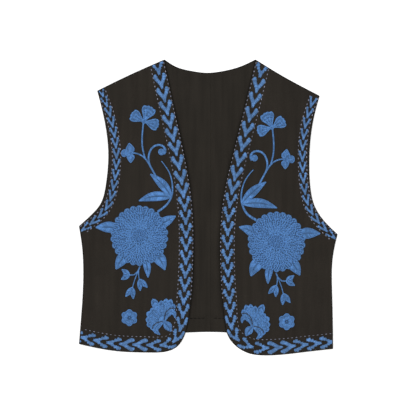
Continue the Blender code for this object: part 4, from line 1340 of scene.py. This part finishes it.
def build():
    front_finish = cloth_with_shaded_edge("vest cloth", FRONT_COLOUR, 0)
    back_finish = cloth_with_shaded_edge("back cloth", BACK_COLOUR, 3)
    flower = thread_family("flower thread", FLOWER_THREAD_COLOUR)
    flower.append(thread_finish("dark line", times(FRONT_COLOUR, 0.8), times(FRONT_COLOUR, 1.6)))
    border = thread_family("border thread", BORDER_THREAD_COLOUR)
    running = thread_family("running thread", RUNNING_COLOUR)
    sewing = [cloth_finish("sewing thread", times(BACK_COLOUR, 0.10), times(BACK_COLOUR, 0.25), 5)]
    floor = add_floor()
    for side in SIDES:
        ring = back_outline(side)
        offsets = [HEM_TURN_WIDTH + HEM_TURN_EDGE * share for share in HEM_TURN_ROWS]
        rows = hem_rows(ring, offsets, HEM_STEP)
        heights = (inside_top, lambda x, y: 0.0 * x)
        back = add_cloth(f"back_{side}_cloth", ring, CLOTH_GRID["back"], heights, rows, back_finish)
        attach(back, "root")
        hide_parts(f"back_{side}")
        turn = HEM_TURN_WIDTH * lengths_along(back_edge("hem"))[-1] / 2
        width, length = np.ptp(ring, axis=0)
        length += HEM_TURN_WIDTH
        hem = hem_sewing(side, back, sewing)
        area(ring) + turn
    for side in SIDES:
        ring = front_outline(side)
        offsets = [-past for past, _ in DROP]
        rows = hem_rows(ring, offsets, HEM_STEP)
        heights = (lambda x, y: cloth_top(side, x, y), lambda x, y: front_under(side, x, y))
        front = add_cloth(f"front_{side}_cloth", ring, CLOTH_GRID["front"], heights, rows, front_finish)
        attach(front, "root")
        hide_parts(f"front_{side}")
        pieces = add_embroidery(side, flower, border, running)
        width, length = np.ptp(ring, axis=0)
        area(ring)


def hem_sewing(side, back, finishes):
    """The small stitches that hold the back's turned hem."""
    rows = hem_rows(back_outline(side), [HEM_TURN_WIDTH - HEM_SEWING_BELOW], SEWING_STEP)
    stitches = dashes(rows[rows[:, 0].argsort()], HEM_SEWING)
    part = thread_part(stitches, ground_of(inside_top), 1.0, np.zeros(len(stitches)))
    made = new_object(f"hem_stitches_{side}", [part], finishes)
    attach(made, "root")
    return made


def add_embroidery(side, flower, border, running):
    """All the embroidery on one front."""
    made = []
    designs = (
        ("blossom", blossom_stitches(side), None),
        ("sprig", sprig_stitches(side), None),
        ("buds", bud_stitches(), None),
        ("palmette", palmette_stitches(), PALMETTE_AT),
        ("rosette", rosette_stitches(), ROSETTE_AT),
    )
    for seed, (name, rows, centres) in enumerate(designs, DESIGN_SEED):
        node = f"{name}_{side}"
        piece = add_threads(f"{node}_stitches", side, node, placed(side, rows, centres), flower, seed)
        made.append(piece)

    ring = front_outline(side)
    clip = inset(ring, BORDER_MARGIN)
    borders = (
        ("border", "opening", OPENING_INSETS, OPENING_CHEVRON, OPENING_PLACES),
        ("armhole_border", "armhole", ARMHOLE_INSETS, ARMHOLE_CHEVRON, ARMHOLE_PLACES),
    )
    for k, (node, name, insets, half, places) in enumerate(borders):
        line = border_line(side, name, insets[side])
        rows, pads = chevron_stitches(line, half, places[side], CHEVRON_SEED + k)
        rows = trimmed(rows, clip)
        pads = [pad for pad in pads if inside(clip, pad).all()]
        node = f"{node}_{side}"
        piece = add_threads(f"{node}_stitches", side, node, rows, border, BORDER_SEED + k, pads)
        made.append(piece)

    piece = running_stitches(side, ring, running)
    made.append(piece)
    for piece in made:
        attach(piece, "root")
    return made


def running_stitches(side, ring, finishes):
    """The dotted rows on both sides of each border, but only above it along the hem."""
    way = 1.0 if side == LEFT else -1.0
    rows = []
    for name, insets in (("opening", OPENING_INSETS), ("armhole", ARMHOLE_INSETS)):
        line = border_line(side, name, insets[side])
        inward = -way * normals_of(line)
        away = from_table(shares_along(line), RUNNING_ROWS[name])[:, None]
        inner = dashes(line + inward * away, RUNNING)
        if name == "opening":
            inner[int(len(inner) * RUNNING_CORNER) :, 4] *= RUNNING_HEM
        rows.append(inner)
        outer = line - inward * away
        if name == "opening":
            outer = outer[: int(len(line) * RUNNING_CORNER)]
        rows.append(dashes(outer, RUNNING))
    rows = np.vstack(rows)
    kept = inset(ring, RUNNING_MARGIN)
    rows = rows[inside(kept, rows[:, 0:2]) & inside(kept, rows[:, 2:4])]
    ground = ground_of(lambda x, y: cloth_top(side, x, y))
    part = thread_part(rows, ground, 1.0, tones_of(rows, RUNNING_SEED))
    made = new_object(f"running_stitches_{side}", [part], finishes)
    return made


def add_floor():
    bpy.ops.mesh.primitive_plane_add(size=6, location=(0, 0, -0.0004))
    floor = bpy.context.object
    floor.name = "floor"
    made, tree, shader = node_tree_of("floor", 0.9, 0.1, 0.0)
    shader.inputs["Base Color"].default_value = (0.93, 0.93, 0.93, 1)
    shader.inputs["Emission Color"].default_value = (1, 1, 1, 1)
    shader.inputs["Emission Strength"].default_value = FLOOR_GLOW
    floor.data.materials.append(made)
    return floor


def add_camera_and_lights():
    scene = bpy.context.scene
    lens = bpy.data.cameras.new("camera")
    lens.sensor_width = 36.0
    lens.lens = 36.0 * CAMERA_HEIGHT / (PHOTO_PIXELS * METRES_A_PIXEL)
    lens.clip_end = 20.0
    camera = bpy.data.objects.new("camera", lens)
    camera.location = (*CAMERA_OVER, CAMERA_HEIGHT + 0.005)
    scene.collection.objects.link(camera)
    scene.camera = camera
    for name, place, size, power in LIGHTS:
        lamp = bpy.data.lights.new(name, "AREA")
        lamp.size = size
        lamp.energy = power
        light = bpy.data.objects.new(name, lamp)
        light.location = place
        light.rotation_euler = (Vector((0, 0, 0)) - Vector(place)).to_track_quat("-Z", "Y").to_euler()
        scene.collection.objects.link(light)
    world = bpy.data.worlds.new("studio")
    world.use_nodes = True
    world.node_tree.nodes["Background"].inputs["Color"].default_value = (1, 1, 1, 1)
    world.node_tree.nodes["Background"].inputs["Strength"].default_value = WORLD_STRENGTH
    scene.world = world
    scene.view_settings.view_transform = "Standard"


build()
add_camera_and_lights()
